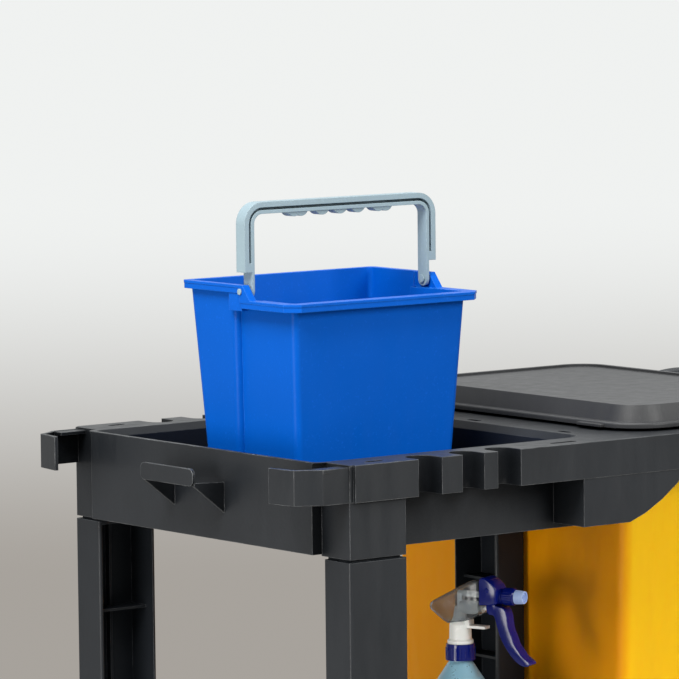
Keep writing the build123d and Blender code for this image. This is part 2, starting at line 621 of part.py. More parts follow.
def caster_plate(side):
    """The square plate with its kingpin and lower race."""
    y = side * CASTER_Y
    plate = soft_block(CASTER_X - 48.0, CASTER_X + 48.0, y - 37.0, y + 37.0, BASE_BOTTOM - 4.0,
                       BASE_BOTTOM, 8.0)
    race = rod_z(CASTER_X, y, BASE_BOTTOM - 9.0, BASE_BOTTOM - 4.0, 25.0)
    pin = rod_z(CASTER_X, y, BASE_BOTTOM - 22.0, BASE_BOTTOM - 4.0, 6.0)
    nut = rod_z(CASTER_X, y, BASE_BOTTOM - 25.0, BASE_BOTTOM - 20.0, 10.0)
    plate = plate + race + pin + nut
    for x, bolt_y in caster_bolt_spots():
        plate = plate - rod_z(x, bolt_y, BASE_BOTTOM - 6.0, BASE_BOTTOM + 1.0, 4.0)
    return plate


def caster_bolts():
    """Hex bolts up through the caster plates into the base."""
    bolts = []
    for x, y in caster_bolt_spots():
        head = Pos(x, y, BASE_BOTTOM - 9.0) * extrude(RegularPolygon(7.0, 6), amount=5.0)
        bolts.append(head + rod_z(x, y, BASE_BOTTOM - 4.5, BASE_BOTTOM + 20.0, 4.0))
    return bolts


def caster_fork(side):
    """The swivelling yoke: a crown with two arms that trail the wheel."""
    y = side * CASTER_Y
    top = BASE_BOTTOM - 9.5
    axle_x = CASTER_X + CASTER_TRAIL
    crown = rod_z(CASTER_X, y, top - 9.5, top, 27.0)
    crown = crown - rod_z(CASTER_X, y, top - 12.0, top + 1.0, 6.0 + RUNNING_FIT)
    bridge = block(CASTER_X - 10.0, axle_x + 12.0, y - 22.0, y + 22.0, top - 9.5, top - 5.5)
    bridge = bridge - rod_z(CASTER_X, y, top - 12.0, top + 1.0, 7.0)
    fork = crown + bridge
    for edge in (-22.0, 18.5):
        arm = prism_y([(CASTER_X - 12.0, top - 5.5), (axle_x + 13.0, top - 5.5), (axle_x + 12.0, CASTER_R),
                       (axle_x - 12.0, CASTER_R)], y + edge, y + edge + 3.5)
        fork = fork + arm + rod_y(axle_x, y + edge, y + edge + 3.5, CASTER_R, 12.0)
    fork = fork - rod_z(CASTER_X, y, top - 18.0, top - 9.4, 12.0)
    return fork - rod_y(axle_x, y - 30.0, y + 30.0, CASTER_R, 4.0)


def caster_axle(side):
    """The bolt and nut that carry a caster wheel."""
    y = side * CASTER_Y
    x = CASTER_X + CASTER_TRAIL
    shank = rod_y(x, y - 24.0, y + 24.0, CASTER_R, 4.0)
    head = rod_y(x, y - 26.5, y - 22.0, CASTER_R, 7.5)
    nut = rod_y(x, y + 22.0, y + 27.0, CASTER_R, 7.0)
    return shank + head + nut


def caster_wheel(side):
    """A plastic caster wheel core."""
    half = CASTER_WIDTH / 2
    core = wheel_profile([(4.0 + RUNNING_FIT, -half - 2.5), (11.0, -half - 2.5), (11.0, -6.0), (34.0, -6.0),
                          (34.0, -half + 2.0), (39.0, -half + 2.0), (39.0, half - 2.0), (34.0, half - 2.0),
                          (34.0, 6.0), (11.0, 6.0), (11.0, half + 2.5), (4.0 + RUNNING_FIT, half + 2.5)])
    return Pos(CASTER_X + CASTER_TRAIL, side * CASTER_Y, CASTER_R) * core


def caster_tyre(side):
    """A caster's soft tread."""
    half = CASTER_WIDTH / 2
    r = CASTER_R
    tread = wheel_profile([(39.0, -half + 2.0), (41.0, -half), (r - 5.0, -half), (r - 1.0, -half + 4.0),
                           (r, -half + 8.0), (r, half - 8.0), (r - 1.0, half - 4.0), (r - 5.0, half),
                           (41.0, half), (39.0, half - 2.0)])
    return Pos(CASTER_X + CASTER_TRAIL, side * CASTER_Y, r) * tread


# ---------------------------------------------------------------- bucket
def bucket_plan(inset, x_inset, y0, y1, z):
    """The body's rounded rectangle at a height above its underside."""
    lean = (BUCKET_RIM_LOW - z) * BUCKET_DRAFT
    half = BUCKET_LENGTH / 2 - x_inset - lean - inset
    low = y0 + lean + inset
    high = y1 - lean - inset
    return Pos(0, (low + high) / 2, z) * RectangleRounded(2 * half, high - low, BUCKET_ROUND - inset)


def bucket_body(inset, z0, z1, z1_far):
    """The two drafted prisms of the body: the near one drawn in, the far one wider."""
    edge = BUCKET_WIDTH / 2
    near = loft([bucket_plan(inset, 14.0, -edge + 14.0, edge - 7.0, z) for z in (z0, z1)])
    far = loft([bucket_plan(inset, 7.0, 8.0, edge - 7.0, z) for z in (z0, z1_far)])
    return near, far


def bucket_rim_plan(grow):
    """The outline of the rim: chamfered at the near corners, rounded at the far ones."""
    face = Rectangle(BUCKET_LENGTH + 2 * grow, BUCKET_WIDTH + 2 * grow)
    face = chamfer(face.vertices().filter_by(lambda v: v.Y < 0.0), BUCKET_CORNER)
    return fillet(face.vertices().filter_by(lambda v: v.Y > 50.0), BUCKET_ROUND + grow)


def bucket():
    """The bucket, standing on the tray: stepped rim, ears for the handle, hollow inside."""
    low = BUCKET_RIM_LOW
    high = BUCKET_RIM_HIGH
    step_y = -9.0
    near, far = bucket_body(0.0, 0.0, low - 1.0, high - 1.0)
    rim = extrude(bucket_rim_plan(0.0), amount=3.0)
    skirt = extrude(bucket_rim_plan(-0.5), amount=9.0) - extrude(bucket_rim_plan(-2.5), amount=9.0)
    near_zone = block(-200.0, 200.0, -200.0, step_y, 0.0, 400.0)
    far_zone = block(-200.0, 200.0, step_y, 200.0, 0.0, 400.0)
    near_rim = (Pos(0, 0, low - 3.0) * rim + Pos(0, 0, low - 9.0) * skirt) & near_zone
    far_rim = (Pos(0, 0, high - 3.0) * rim + Pos(0, 0, high - 9.0) * skirt) & far_zone
    body = near + far + near_rim + far_rim
    ear_x = BUCKET_LENGTH / 2
    ear = Plane.YZ * make_face(Polyline((step_y - 20.0, low - 3.0), (step_y + 2.0, low - 3.0),
                                        (step_y + 2.0, high), (step_y - 4.0, high), close=True))
    ear = Pos(ear_x - 10.0, 0, 0) * extrude(ear, amount=10.0)
    cheek = block(ear_x - 9.5, ear_x - 1.5, step_y - 1.0, 14.0, low - 12.0, high - 1.0)
    side = ear + cheek
    body = body + side + mirror(side, about=Plane.YZ)
    near_in, far_in = bucket_body(BUCKET_WALL, 3.0, low + 30.0, high + 30.0)
    body = body - near_in - far_in
    slot = block(BAIL_HALF - BAIL_BAR - 3.0, ear_x - 9.0, step_y - 22.0, 12.0, low - 0.5, high + 1.0)
    body = body - slot - mirror(slot, about=Plane.YZ)
    pin = rod_x(-200.0, 200.0, BUCKET_PIVOT_Y, BUCKET_PIVOT, BUCKET_PIN_R)
    return Pos(BUCKET_X, 0, TRAY_FLOOR + 0.05) * (body - pin)


def bucket_handle():
    """The carrying handle: a grooved channel bar, bent over the bucket, with thin pivot legs."""
    inner = BAIL_HALF - BAIL_BAR
    foot = BUCKET_PIVOT + 21.0
    half_depth = BAIL_DEPTH / 2
    outline = make_face(Polyline((-BAIL_HALF, foot), (-BAIL_HALF, BAIL_TOP), (BAIL_HALF, BAIL_TOP),
                                 (BAIL_HALF, foot), close=True))
    outline = fillet(outline.vertices().filter_by(lambda v: v.Y > BAIL_TOP - 1.0), radius=24.0)
    hole = make_face(Polyline((-inner, foot - 5.0), (-inner, BAIL_TOP - BAIL_BAR),
                              (inner, BAIL_TOP - BAIL_BAR), (inner, foot - 5.0), close=True))
    hole = fillet(hole.vertices().filter_by(lambda v: v.Y > BAIL_TOP - BAIL_BAR - 1.0), radius=11.0)
    bar = Pos(0, half_depth, 0) * extrude(Plane.XZ * (outline - hole), amount=BAIL_DEPTH)
    groove_out = make_face(Polyline((-BAIL_HALF + 6.0, foot + 10.0), (-BAIL_HALF + 6.0, BAIL_TOP - 6.0),
                                    (BAIL_HALF - 6.0, BAIL_TOP - 6.0), (BAIL_HALF - 6.0, foot + 10.0),
                                    close=True))
    groove_out = fillet(groove_out.vertices().filter_by(lambda v: v.Y > BAIL_TOP - 7.0), radius=18.0)
    groove_in = make_face(Polyline((-inner - 4.0, foot), (-inner - 4.0, BAIL_TOP - BAIL_BAR + 4.0),
                                   (inner + 4.0, BAIL_TOP - BAIL_BAR + 4.0), (inner + 4.0, foot),
                                   close=True))
    upper_corners = groove_in.vertices().filter_by(lambda v: v.Y > BAIL_TOP - BAIL_BAR + 3.0)
    groove_in = fillet(upper_corners, radius=15.0)
    groove = Pos(0, -half_depth + 11.0, 0) * extrude(Plane.XZ * (groove_out - groove_in), amount=12.0)
    bar = bar - groove
    lumps = []
    for x, radius in FINGER_LUMPS:
        middle_z = BAIL_TOP - BAIL_BAR + radius - 5.0
        lump = Pos(x, 0, middle_z) * Rot(90, 0, 0) * Cylinder(radius, BAIL_DEPTH - 3.0)
        lumps.append(lump & block(-200.0, 200.0, -20.0, 20.0, 0.0, BAIL_TOP - BAIL_BAR + 1.0))
    bar = bar + union(lumps)
    for side in (-1.0, 1.0):
        x0 = side * inner
        x1 = side * (inner + 3.4)
        leg = block(min(x0, x1), max(x0, x1), -half_depth, half_depth, BUCKET_PIVOT, foot + 6.0)
        leg = leg + rod_x(min(x0, x1), max(x0, x1), 0.0, BUCKET_PIVOT, half_depth)
        hole = rod_x(min(x0, x1) - 1.0, max(x0, x1) + 1.0, 0.0, BUCKET_PIVOT, BUCKET_PIN_R + RUNNING_FIT)
        bar = bar + leg - hole
    return Pos(BUCKET_X, BUCKET_PIVOT_Y, TRAY_FLOOR + 0.05) * bar


def bucket_pivots():
    """The two pins pressed through the ears, with a small head outside and one inside."""
    pins = []
    inner = BAIL_HALF - BAIL_BAR
    for side in (-1.0, 1.0):
        ends = sorted((side * (inner - 1.2), side * (BUCKET_LENGTH / 2 + 1.0)))
        pin = rod_x(ends[0], ends[1], BUCKET_PIVOT_Y, BUCKET_PIVOT, BUCKET_PIN_R)
        outside = sorted((side * (BUCKET_LENGTH / 2 + 0.1), side * (BUCKET_LENGTH / 2 + 1.4)))
        inside = sorted((side * (inner - 2.2), side * (inner - 0.6)))
        pin = pin + rod_x(outside[0], outside[1], BUCKET_PIVOT_Y, BUCKET_PIVOT, 3.4)
        pin = pin + rod_x(inside[0], inside[1], BUCKET_PIVOT_Y, BUCKET_PIVOT, 4.4)
        pins.append(Pos(BUCKET_X, 0, TRAY_FLOOR + 0.05) * pin)
    return pins


# ---------------------------------------------------------------- sprayer
SPRAY_PLACE = Location((SPRAY_X, SPRAY_Y, SHELF_FLOOR + 0.05), (0, 0, SPRAY_TURN))
TRIGGER_X = 41.0
TRIGGER_Z = 301.0
NOZZLE_Z = 291.0


def turned(points):
    """An (r, z) outline turned round the Z axis."""
    face = Plane.XZ * make_face(Polyline(*points, close=True))
    return revolve(face, axis=Axis.Z)


def spray_bottle():
    """A round bottle with a sloping shoulder and a short neck."""
    r = BOTTLE_R
    outer = [(0.0, 0.0), (r - 4.0, 0.0), (r, 4.0), (r, 160.0), (r - 1.5, 170.0), (r - 5.5, 180.0),
             (r - 12.0, 192.0), (20.0, 204.0), (15.0, 212.0), (12.5, 215.0), (12.5, 230.0), (10.5, 230.0),
             (10.5, 214.0), (13.5, 210.0), (18.5, 202.0), (r - 13.5, 190.5), (r - 7.0, 179.0),
             (r - 3.2, 169.5), (r - 1.7, 159.5), (r - 1.7, 4.5), (r - 4.5, 1.7), (0.0, 1.7)]
    return turned(outer)


def cleaning_liquid():
    """The liquid, filled to below the shoulder."""
    r = BOTTLE_R - 1.75
    fill = turned([(0.0, 1.75), (r - 2.8, 1.75), (r, 4.55), (r, 150.0), (0.0, 150.0)])
    return fill - rod_z(0.0, 0.0, 0.0, 200.0, 3.4)


def dip_tube():
    """The tube that draws liquid up to the pump."""
    return rod_z(0.0, 0.0, 8.0, 233.0, 3.2) - rod_z(0.0, 0.0, 7.0, 234.0, 2.2)


def spray_collar():
    """The ribbed screw collar."""
    skirt = turned([(12.7, BOTTLE_NECK_Z + 0.4), (16.8, BOTTLE_NECK_Z + 0.4), (16.0, 234.5), (13.4, 234.5),
                    (13.4, 231.6), (12.7, 231.6)])
    ribs = [Rot(0, 0, 20 * i) * block(15.6, 16.9, -0.8, 0.8, BOTTLE_NECK_Z + 2.0, 230.0) for i in range(18)]
    return skirt + union(ribs)


def spray_neck():
    """The white pump body: a flanged neck, a tapered throat and the pump barrel."""
    neck = turned([(3.3, 231.8), (13.2, 231.8), (13.2, 234.7), (14.6, 234.7), (14.6, 238.0), (12.6, 240.0),
                   (12.2, 256.0), (8.0, 264.0), (6.0, 276.0), (3.3, 276.0)])
    barrel = rod_x(2.0, 26.0, 0.0, 276.0, 7.5) - rod_x(5.0, 27.0, 0.0, 276.0, 5.0 + RUNNING_FIT)
    channel = rod_x(-2.0, 51.0, 0.0, NOZZLE_Z, 3.4)
    riser = block(-2.0, 4.0, -3.4, 3.4, 272.0, NOZZLE_Z)
    ledge = block(12.0, 34.0, -6.0, 6.0, 253.0, 256.0) + block(8.0, 14.0, -6.0, 6.0, 253.0, 262.0)
    return neck + barrel + channel + riser + ledge


def spray_shroud():
    """The clear rear shroud over the pump."""
    outline = [(-32.0, 274.0), (-32.0, 282.0), (14.0, 308.5), (30.0, 308.5), (30.0, 270.0), (14.0, 262.0),
               (-14.0, 258.0), (-16.0, 264.0)]
    core = [(-29.5, 275.0), (-29.5, 280.5), (14.6, 306.0), (31.0, 306.0), (31.0, 260.0), (14.0, 259.0),
            (-12.0, 255.0), (-13.6, 265.5)]
    shell = prism_y(outline, -13.0, 13.0) - prism_y(core, -11.0, 11.0)
    return shell


def spray_hood():
    """The coloured front hood that holds the nozzle seat and the trigger's pivot."""
    outline = [(30.4, 280.0), (30.4, 309.0), (34.0, 311.5), (46.0, 306.0), (52.0, 301.5), (52.0, 282.0)]
    hood = prism_y(outline, -13.0, 13.0)
    inside = [(29.0, 270.0), (29.0, 305.5), (43.5, 303.5), (47.0, 298.0), (47.0, 270.0)]
    hollow = prism_y(inside, -10.5, 10.5)
    seat = rod_x(51.0, 56.0, 0.0, NOZZLE_Z, 8.6)
    hood = hood + seat - hollow - rod_x(30.0, 60.0, 0.0, NOZZLE_Z, 3.4 + 0.2)
    return hood - rod_y(TRIGGER_X, -20.0, 20.0, TRIGGER_Z - 3.0, 2.0)


def spray_trigger():
    """The curved trigger with its pivot pin and the push pad behind it."""
    front = [(39.0, 294.0), (45.5, 294.0), (45.5, 280.0), (62.0, 278.0), (64.0, 262.0), (71.0, 243.0),
             (82.0, 226.0), (91.0, 219.0), (90.0, 215.5), (84.0, 215.0), (72.0, 222.0), (58.0, 240.0),
             (51.0, 258.0), (47.0, 270.0), (37.0, 270.0)]
    trigger = prism_y(front, -8.0, 8.0)
    pin = rod_y(TRIGGER_X, -12.9, 12.9, TRIGGER_Z - 3.0, 2.0 - RUNNING_FIT)
    arms = prism_y([(38.4, 301.0), (43.6, 301.0), (46.0, 286.0), (37.0, 286.0)], -10.0, -6.0)
    arms = arms + mirror(arms, about=Plane.XZ)
    gap = block(30.0, 52.0, -4.2, 4.2, NOZZLE_Z - 7.0, 310.0)
    return trigger + pin + arms - gap


def pump_piston():
    """The piston that the trigger drives into the barrel."""
    return rod_x(14.0, 30.0, 0.0, 276.0, 5.0) + rod_x(29.0, 35.2, 0.0, 276.0, 2.6)


def spray_nozzle():
    """The turning nozzle knob with its ribbed grip and face."""
    knob = rod_x(56.3, 70.0, 0.0, NOZZLE_Z, 9.5)
    nose = Pos(76.0, 0, NOZZLE_Z) * Rot(0, 90, 0) * Cone(8.0, 6.6, 12.0)
    ribs = [Pos(0, 0, NOZZLE_Z) * Rot(24 * i, 0, 0) * block(57.5, 69.0, 9.2, 10.1, -0.9, 0.9)
            for i in range(15)]
    mouth = rod_x(78.0, 83.0, 0.0, NOZZLE_Z, 4.6)
    return knob + nose + union(ribs) - mouth


# ---------------------------------------------------------------- write
def save(name, shape):
    """Write one sub-part, or a group of separate solids, to its STEP file."""
    if isinstance(shape, list):
        solids = [solid for item in shape for solid in item.solids()]
    else:
        solids = shape.solids()
    item = solids[0] if len(solids) == 1 else Compound(children=solids)
    item.label = name
    export_step(item, os.path.join("parts", name + ".step"))


def twin(shape):
    """The right-hand twin of a left-hand part."""
    return mirror(shape, about=Plane.XZ)


def main():
    os.makedirs("parts", exist_ok=True)
    save("top_deck", top_deck())
    save("middle_shelf", middle_shelf())
    save("base_platform", base_platform())
    save("base_rim", base_rim())
    upper = channel_leg(SHELF_TOP + SHOULDER_GAP, SOCKET_BOTTOM - SHOULDER_GAP, 25.0)
    lower = channel_leg(BASE_TOP + SHOULDER_GAP, SHELF_BOTTOM - SHOULDER_GAP, 25.0)
    save("upper_leg_left", upper)
    save("upper_leg_right", twin(upper))
    save("lower_leg_left", lower)
    save("lower_leg_right", twin(lower))
    save("centre_post", centre_post())
    save("push_handle", push_handle())
    save("bag_lid", bag_lid())
    save("lid_hinge_pins", lid_hinge_pins())
    save("waste_bag", waste_bag())
    save("bag_pegs", bag_pegs())
    save("bag_eyelets", bag_eyelets())
    save("rear_axle", rear_axle())
    save("axle_caps", axle_caps())
    save("caster_bolts", caster_bolts())
    for side, name in ((-1.0, "left"), (1.0, "right")):
        save("rear_hub_" + name, rear_hub(side))
        save("rear_tyre_" + name, rear_tyre(side))
        save("caster_plate_" + name, caster_plate(side))
        save("caster_fork_" + name, caster_fork(side))
        save("caster_axle_" + name, caster_axle(side))
        save("caster_wheel_" + name, caster_wheel(side))
        save("caster_tyre_" + name, caster_tyre(side))
    save("bucket", bucket())
    save("bucket_handle", bucket_handle())
    save("bucket_pivots", bucket_pivots())
    sprayer = {
        "spray_bottle": spray_bottle(),
        "cleaning_liquid": cleaning_liquid(),
        "dip_tube": dip_tube(),
        "spray_collar": spray_collar(),
        "spray_neck": spray_neck(),
        "spray_shroud": spray_shroud(),
        "spray_hood": spray_hood(),
        "spray_trigger": spray_trigger(),
        "pump_piston": pump_piston(),
        "spray_nozzle": spray_nozzle(),
    }
    for name, shape in sprayer.items():
        save(name, SPRAY_PLACE * shape)


main()
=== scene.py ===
"""Finishes, soft goods and fine detail for a wheeled housekeeping cart.

Everything is in metres in the cart's own frame: +Z up, -X the way the cart rolls, -Y its left side.
"""

import logging
import math
import random
from dataclasses import dataclass, field
from enum import Enum
from typing import Iterable, Optional, Sequence

import bpy
import numpy as np
from mathutils import Matrix, Vector


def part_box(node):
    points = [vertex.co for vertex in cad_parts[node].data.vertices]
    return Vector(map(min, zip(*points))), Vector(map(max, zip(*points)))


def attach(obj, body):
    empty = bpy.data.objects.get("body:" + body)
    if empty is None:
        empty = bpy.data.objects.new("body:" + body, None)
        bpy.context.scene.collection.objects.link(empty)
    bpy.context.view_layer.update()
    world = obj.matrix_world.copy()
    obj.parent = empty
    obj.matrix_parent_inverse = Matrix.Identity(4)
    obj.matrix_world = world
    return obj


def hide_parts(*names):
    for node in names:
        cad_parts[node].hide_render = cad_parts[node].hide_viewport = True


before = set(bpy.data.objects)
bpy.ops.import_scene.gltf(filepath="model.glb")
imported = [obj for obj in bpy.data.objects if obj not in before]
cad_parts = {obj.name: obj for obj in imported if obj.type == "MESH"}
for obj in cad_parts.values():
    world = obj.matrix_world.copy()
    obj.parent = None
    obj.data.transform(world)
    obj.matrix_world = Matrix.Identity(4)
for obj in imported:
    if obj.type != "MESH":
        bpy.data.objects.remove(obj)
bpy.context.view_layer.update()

logging.basicConfig(level=logging.INFO, format="%(name)s: %(message)s")
LOG = logging.getLogger("cart")

Colour = tuple[float, float, float]
Point = tuple[float, float, float]


class Side(Enum):
    """A side of the cart or of a piece, with the sign of its Y values."""

    LEFT = -1.0
    RIGHT = 1.0


# ------------------------------------------------------------------ finishes
class Recipe:
    """A material under construction: its node tree, with short calls that add and join nodes."""

    def __init__(self, name: str) -> None:
        """Start a node material with one Principled shader.

        Args:
            name: The material's name.
        """
        self.material = bpy.data.materials.new(name)
        self.material.use_nodes = True
        self.tree = self.material.node_tree
        self.shader = self.tree.nodes["Principled BSDF"]
        self.place = self.add("ShaderNodeTexCoord").outputs["Object"]

    def add(self, kind: str, **settings: object) -> bpy.types.Node:
        """Add a node.

        Args:
            kind: The node's type name.
            **settings: Attributes to set on it.

        Returns:
            The new node.
        """
        node = self.tree.nodes.new(kind)
        for key, value in settings.items():
            setattr(node, key, value)
        return node

    def join(self, source: object, target: bpy.types.NodeSocket) -> None:
        """Join a socket, or set a plain value, to a target socket.

        Args:
            source: An output socket, a number or a colour.
            target: The input socket that takes it.
        """
        if isinstance(source, bpy.types.NodeSocket):
            self.tree.links.new(source, target)
        else:
            target.default_value = source

    def stretched(self, scale: Point) -> bpy.types.NodeSocket:
        """Object coordinates multiplied by a scale along each axis."""
        mapping = self.add("ShaderNodeMapping")
        self.join(self.place, mapping.inputs["Vector"])
        mapping.inputs["Scale"].default_value = scale
        return mapping.outputs["Vector"]

    def noise(self, scale: float, detail: float = 3.0, rough: float = 0.5,
              place: Optional[bpy.types.NodeSocket] = None) -> bpy.types.NodeSocket:
        """Cloudy noise from 0 to 1.

        Args:
            scale: Features per metre, roughly.
            detail: Octaves.
            rough: Weight of the fine octaves.
            place: Coordinates, or the object's own.

        Returns:
            The noise value's socket.
        """
        node = self.add("ShaderNodeTexNoise")
        self.join(place or self.place, node.inputs["Vector"])
        node.inputs["Scale"].default_value = scale
        node.inputs["Detail"].default_value = detail
        node.inputs["Roughness"].default_value = rough
        return node.outputs["Fac"]

    def spread(self, value: bpy.types.NodeSocket, low: float, high: float,
               new_low: float = 0.0, new_high: float = 1.0) -> bpy.types.NodeSocket:
        """Stretch a value from one range to another, held inside it."""
        node = self.add("ShaderNodeMapRange")
        self.join(value, node.inputs["Value"])
        ends = {"From Min": low, "From Max": high, "To Min": new_low, "To Max": new_high}
        for key, number in ends.items():
            node.inputs[key].default_value = number
        return node.outputs["Result"]

    def sum(self, operation: str, first: object, second: object) -> bpy.types.NodeSocket:
        """One arithmetic step on two values."""
        node = self.add("ShaderNodeMath", operation=operation)
        self.join(first, node.inputs[0])
        self.join(second, node.inputs[1])
        return node.outputs[0]

    def blend(self, share: object, first: object, second: object) -> bpy.types.NodeSocket:
        """Mix two colours.

        Args:
            share: How much of the second colour, from 0 to 1.
            first: A colour or a socket.
            second: A colour or a socket.

        Returns:
            The mixed colour's socket.
        """
        node = self.add("ShaderNodeMix", data_type="RGBA")
        self.join(share, node.inputs[0])
        for source, target in ((first, node.inputs[6]), (second, node.inputs[7])):
            self.join(source if isinstance(source, bpy.types.NodeSocket) else (*source, 1.0), target)
        return node.outputs[2]

    def soft_edges(self, radius: float) -> tuple[bpy.types.NodeSocket, bpy.types.NodeSocket]:
        """Normals that round the edges off, and how strongly each point is on an edge."""
        rounding = self.add("ShaderNodeBevel", samples=6)
        rounding.inputs["Radius"].default_value = radius
        flat = self.add("ShaderNodeNewGeometry").outputs["Normal"]
        dot = self.add("ShaderNodeVectorMath", operation="DOT_PRODUCT")
        self.join(rounding.outputs["Normal"], dot.inputs[0])
        self.join(flat, dot.inputs[1])
        edge = self.spread(dot.outputs["Value"], 0.995, 0.80)
        return rounding.outputs["Normal"], edge

    def relief(self, height: bpy.types.NodeSocket, depth: float,
               normal: Optional[bpy.types.NodeSocket] = None) -> bpy.types.NodeSocket:
        """Bump from a height value.

        Args:
            height: The height, from 0 to 1.
            depth: The height of 1, in metres.
            normal: A normal to start from.

        Returns:
            The new normal's socket.
        """
        bump = self.add("ShaderNodeBump")
        bump.inputs["Distance"].default_value = depth
        self.join(height, bump.inputs["Height"])
        if normal is not None:
            self.join(normal, bump.inputs["Normal"])
        return bump.outputs["Normal"]

    def surface(self, **inputs: object) -> None:
        """Set or join the shader's inputs, an underscore standing for each space in a name."""
        for key, value in inputs.items():
            self.join(value, self.shader.inputs[key.replace("_", " ")])


@dataclass(frozen=True)
class Moulded:
    """A moulded plastic: fine grain and rounded edges, lightened along its edges by painted highlights mixed
    with scuffs, with painted shade that darkens its colour and dims its reflections deep inside hollows.
    """

    name: str
    colour: Colour
    roughness: float = 0.5
    grain_scale: float = 1100.0
    grain_depth: float = 0.00006
    edge_radius: float = 0.0014
    # Pale edge colour and its strength: painted edge highlights mixed with scuffs.
    edge_colour: Optional[Colour] = None
    mottling: float = 0.12
    scuffs: float = 0.25
    shine: float = 0.3
    glow: float = 0.0
    # How far hollows are looked for, and how strongly painted shade darkens them.
    hollow_reach: float = 0.09
    hollow_shade: float = 0.0

    def make(self) -> bpy.types.Material:
        """Build the material."""
        recipe = Recipe(self.name)
        dark = tuple(c * (1.0 - self.mottling) for c in self.colour)
        light = tuple(min(1.0, c * (1.0 + self.mottling)) for c in self.colour)
        cloud = recipe.spread(recipe.noise(7.0, 4.0), 0.3, 0.7)
        colour = recipe.blend(cloud, dark, light)
        speck = recipe.spread(recipe.noise(self.grain_scale * 0.5, 1.0), 0.62, 0.8, 0.0, 0.35)
        colour = recipe.blend(speck, colour, tuple(min(1.0, c * 1.5 + 0.01) for c in self.colour))
        normal, edge = recipe.soft_edges(self.edge_radius)
        # Painted highlights mixed with scuffs: edges lightened towards a pale colour in noisy patches.
        highlight_and_wear_patches = recipe.spread(recipe.noise(34.0, 5.0, 0.7), 0.36, 0.62)
        edge_share = recipe.sum("MULTIPLY", edge, recipe.sum("MULTIPLY", highlight_and_wear_patches, self.scuffs))
        edge_colour = self.edge_colour or tuple(min(1.0, c * 2.4 + 0.03) for c in self.colour)
        colour = recipe.blend(edge_share, colour, edge_colour)
        streaks = recipe.noise(1.0, 5.0, 0.6, recipe.stretched((60.0, 60.0, 14.0)))
        rough = recipe.spread(streaks, 0.3, 0.7, self.roughness - 0.07, self.roughness + 0.07)
        # Painted shade: ambient occlusion darkens the colour by hollow_shade and dims the reflections deep
        # inside hollows.
        hollow = recipe.add("ShaderNodeAmbientOcclusion", samples=4)
        hollow.inputs["Distance"].default_value = self.hollow_reach
        openness = recipe.sum("POWER", hollow.outputs["AO"], 1.6)
        shade = recipe.spread(openness, 0.0, 1.0, self.hollow_shade, 0.0)
        colour = recipe.blend(shade, colour, (0.0, 0.0, 0.0))
        shine = recipe.sum("MULTIPLY", openness, self.shine)
        grain = recipe.noise(self.grain_scale, 2.0, 0.6)
        normal = recipe.relief(grain, self.grain_depth, normal)
        recipe.surface(Base_Color=colour, Roughness=rough, Normal=normal, IOR=1.49,
                       Specular_IOR_Level=shine)
        if self.glow:
            recipe.surface(Subsurface_Weight=self.glow, Subsurface_Radius=(0.006, 0.004, 0.003))
        return recipe.material


@dataclass(frozen=True)
class Vinyl:
    """A coated cloth with a faint weave, with painted shade: a deeper colour along small crease lines and on
    panels that face forwards.
    """

    name: str
    colour: Colour
    deep: Colour
    weave: float = 0.0016
    roughness: float = 0.42

    def make(self) -> bpy.types.Material:
        """Build the material; the weave follows the piece's own UV map, in metres."""
        recipe = Recipe(self.name)
        uv = recipe.add("ShaderNodeUVMap", uv_map="cloth").outputs["UV"]
        turns = 2.0 * math.pi / self.weave
        split = recipe.add("ShaderNodeSeparateXYZ")
        recipe.join(uv, split.inputs[0])
        warp = recipe.sum("SINE", recipe.sum("MULTIPLY", split.outputs["X"], turns), 0.0)
        weft = recipe.sum("SINE", recipe.sum("MULTIPLY", split.outputs["Y"], turns), 0.0)
        weave = recipe.spread(recipe.sum("MULTIPLY", warp, weft), -1.0, 1.0)
        creases = recipe.noise(1.0, 5.0, 0.6, recipe.stretched((34.0, 34.0, 9.0)))
        crease = recipe.spread(recipe.sum("ABSOLUTE", recipe.sum("SUBTRACT", creases, 0.5), 0.0), 0.0, 0.12)
        cloud = recipe.spread(recipe.noise(5.0, 4.0), 0.3, 0.7)
        faded = tuple(0.86 * a + 0.14 * b for a, b in zip(self.colour, self.deep))
        colour = recipe.blend(cloud, self.colour, faded)
        # Painted shade: a little of the deeper orange along the crease lines.
        colour = recipe.blend(recipe.spread(crease, 0.0, 0.25, 0.10, 0.0), colour, self.deep)
        # Painted shade: panels that face forwards, shaded under the deck, take the deeper orange.
        sides = recipe.add("ShaderNodeSeparateXYZ")
        recipe.join(recipe.add("ShaderNodeNewGeometry").outputs["Normal"], sides.inputs[0])
        colour = recipe.blend(recipe.spread(sides.outputs["X"], -0.25, -0.9), colour, self.deep)
        normal = recipe.relief(weave, 0.00004)
        ripples = recipe.noise(1.0, 3.0, 0.5, recipe.stretched((16.0, 16.0, 6.0)))
        normal = recipe.relief(ripples, 0.004, normal)
        rough = recipe.spread(recipe.noise(60.0, 3.0), 0.3, 0.7,
                              self.roughness - 0.06, self.roughness + 0.08)
        recipe.surface(Base_Color=colour, Roughness=rough, Normal=normal, IOR=1.5,
                       Specular_IOR_Level=0.16, Subsurface_Weight=0.25, Subsurface_Scale=1.0,
                       Subsurface_Radius=(0.03, 0.010, 0.001))
        return recipe.material


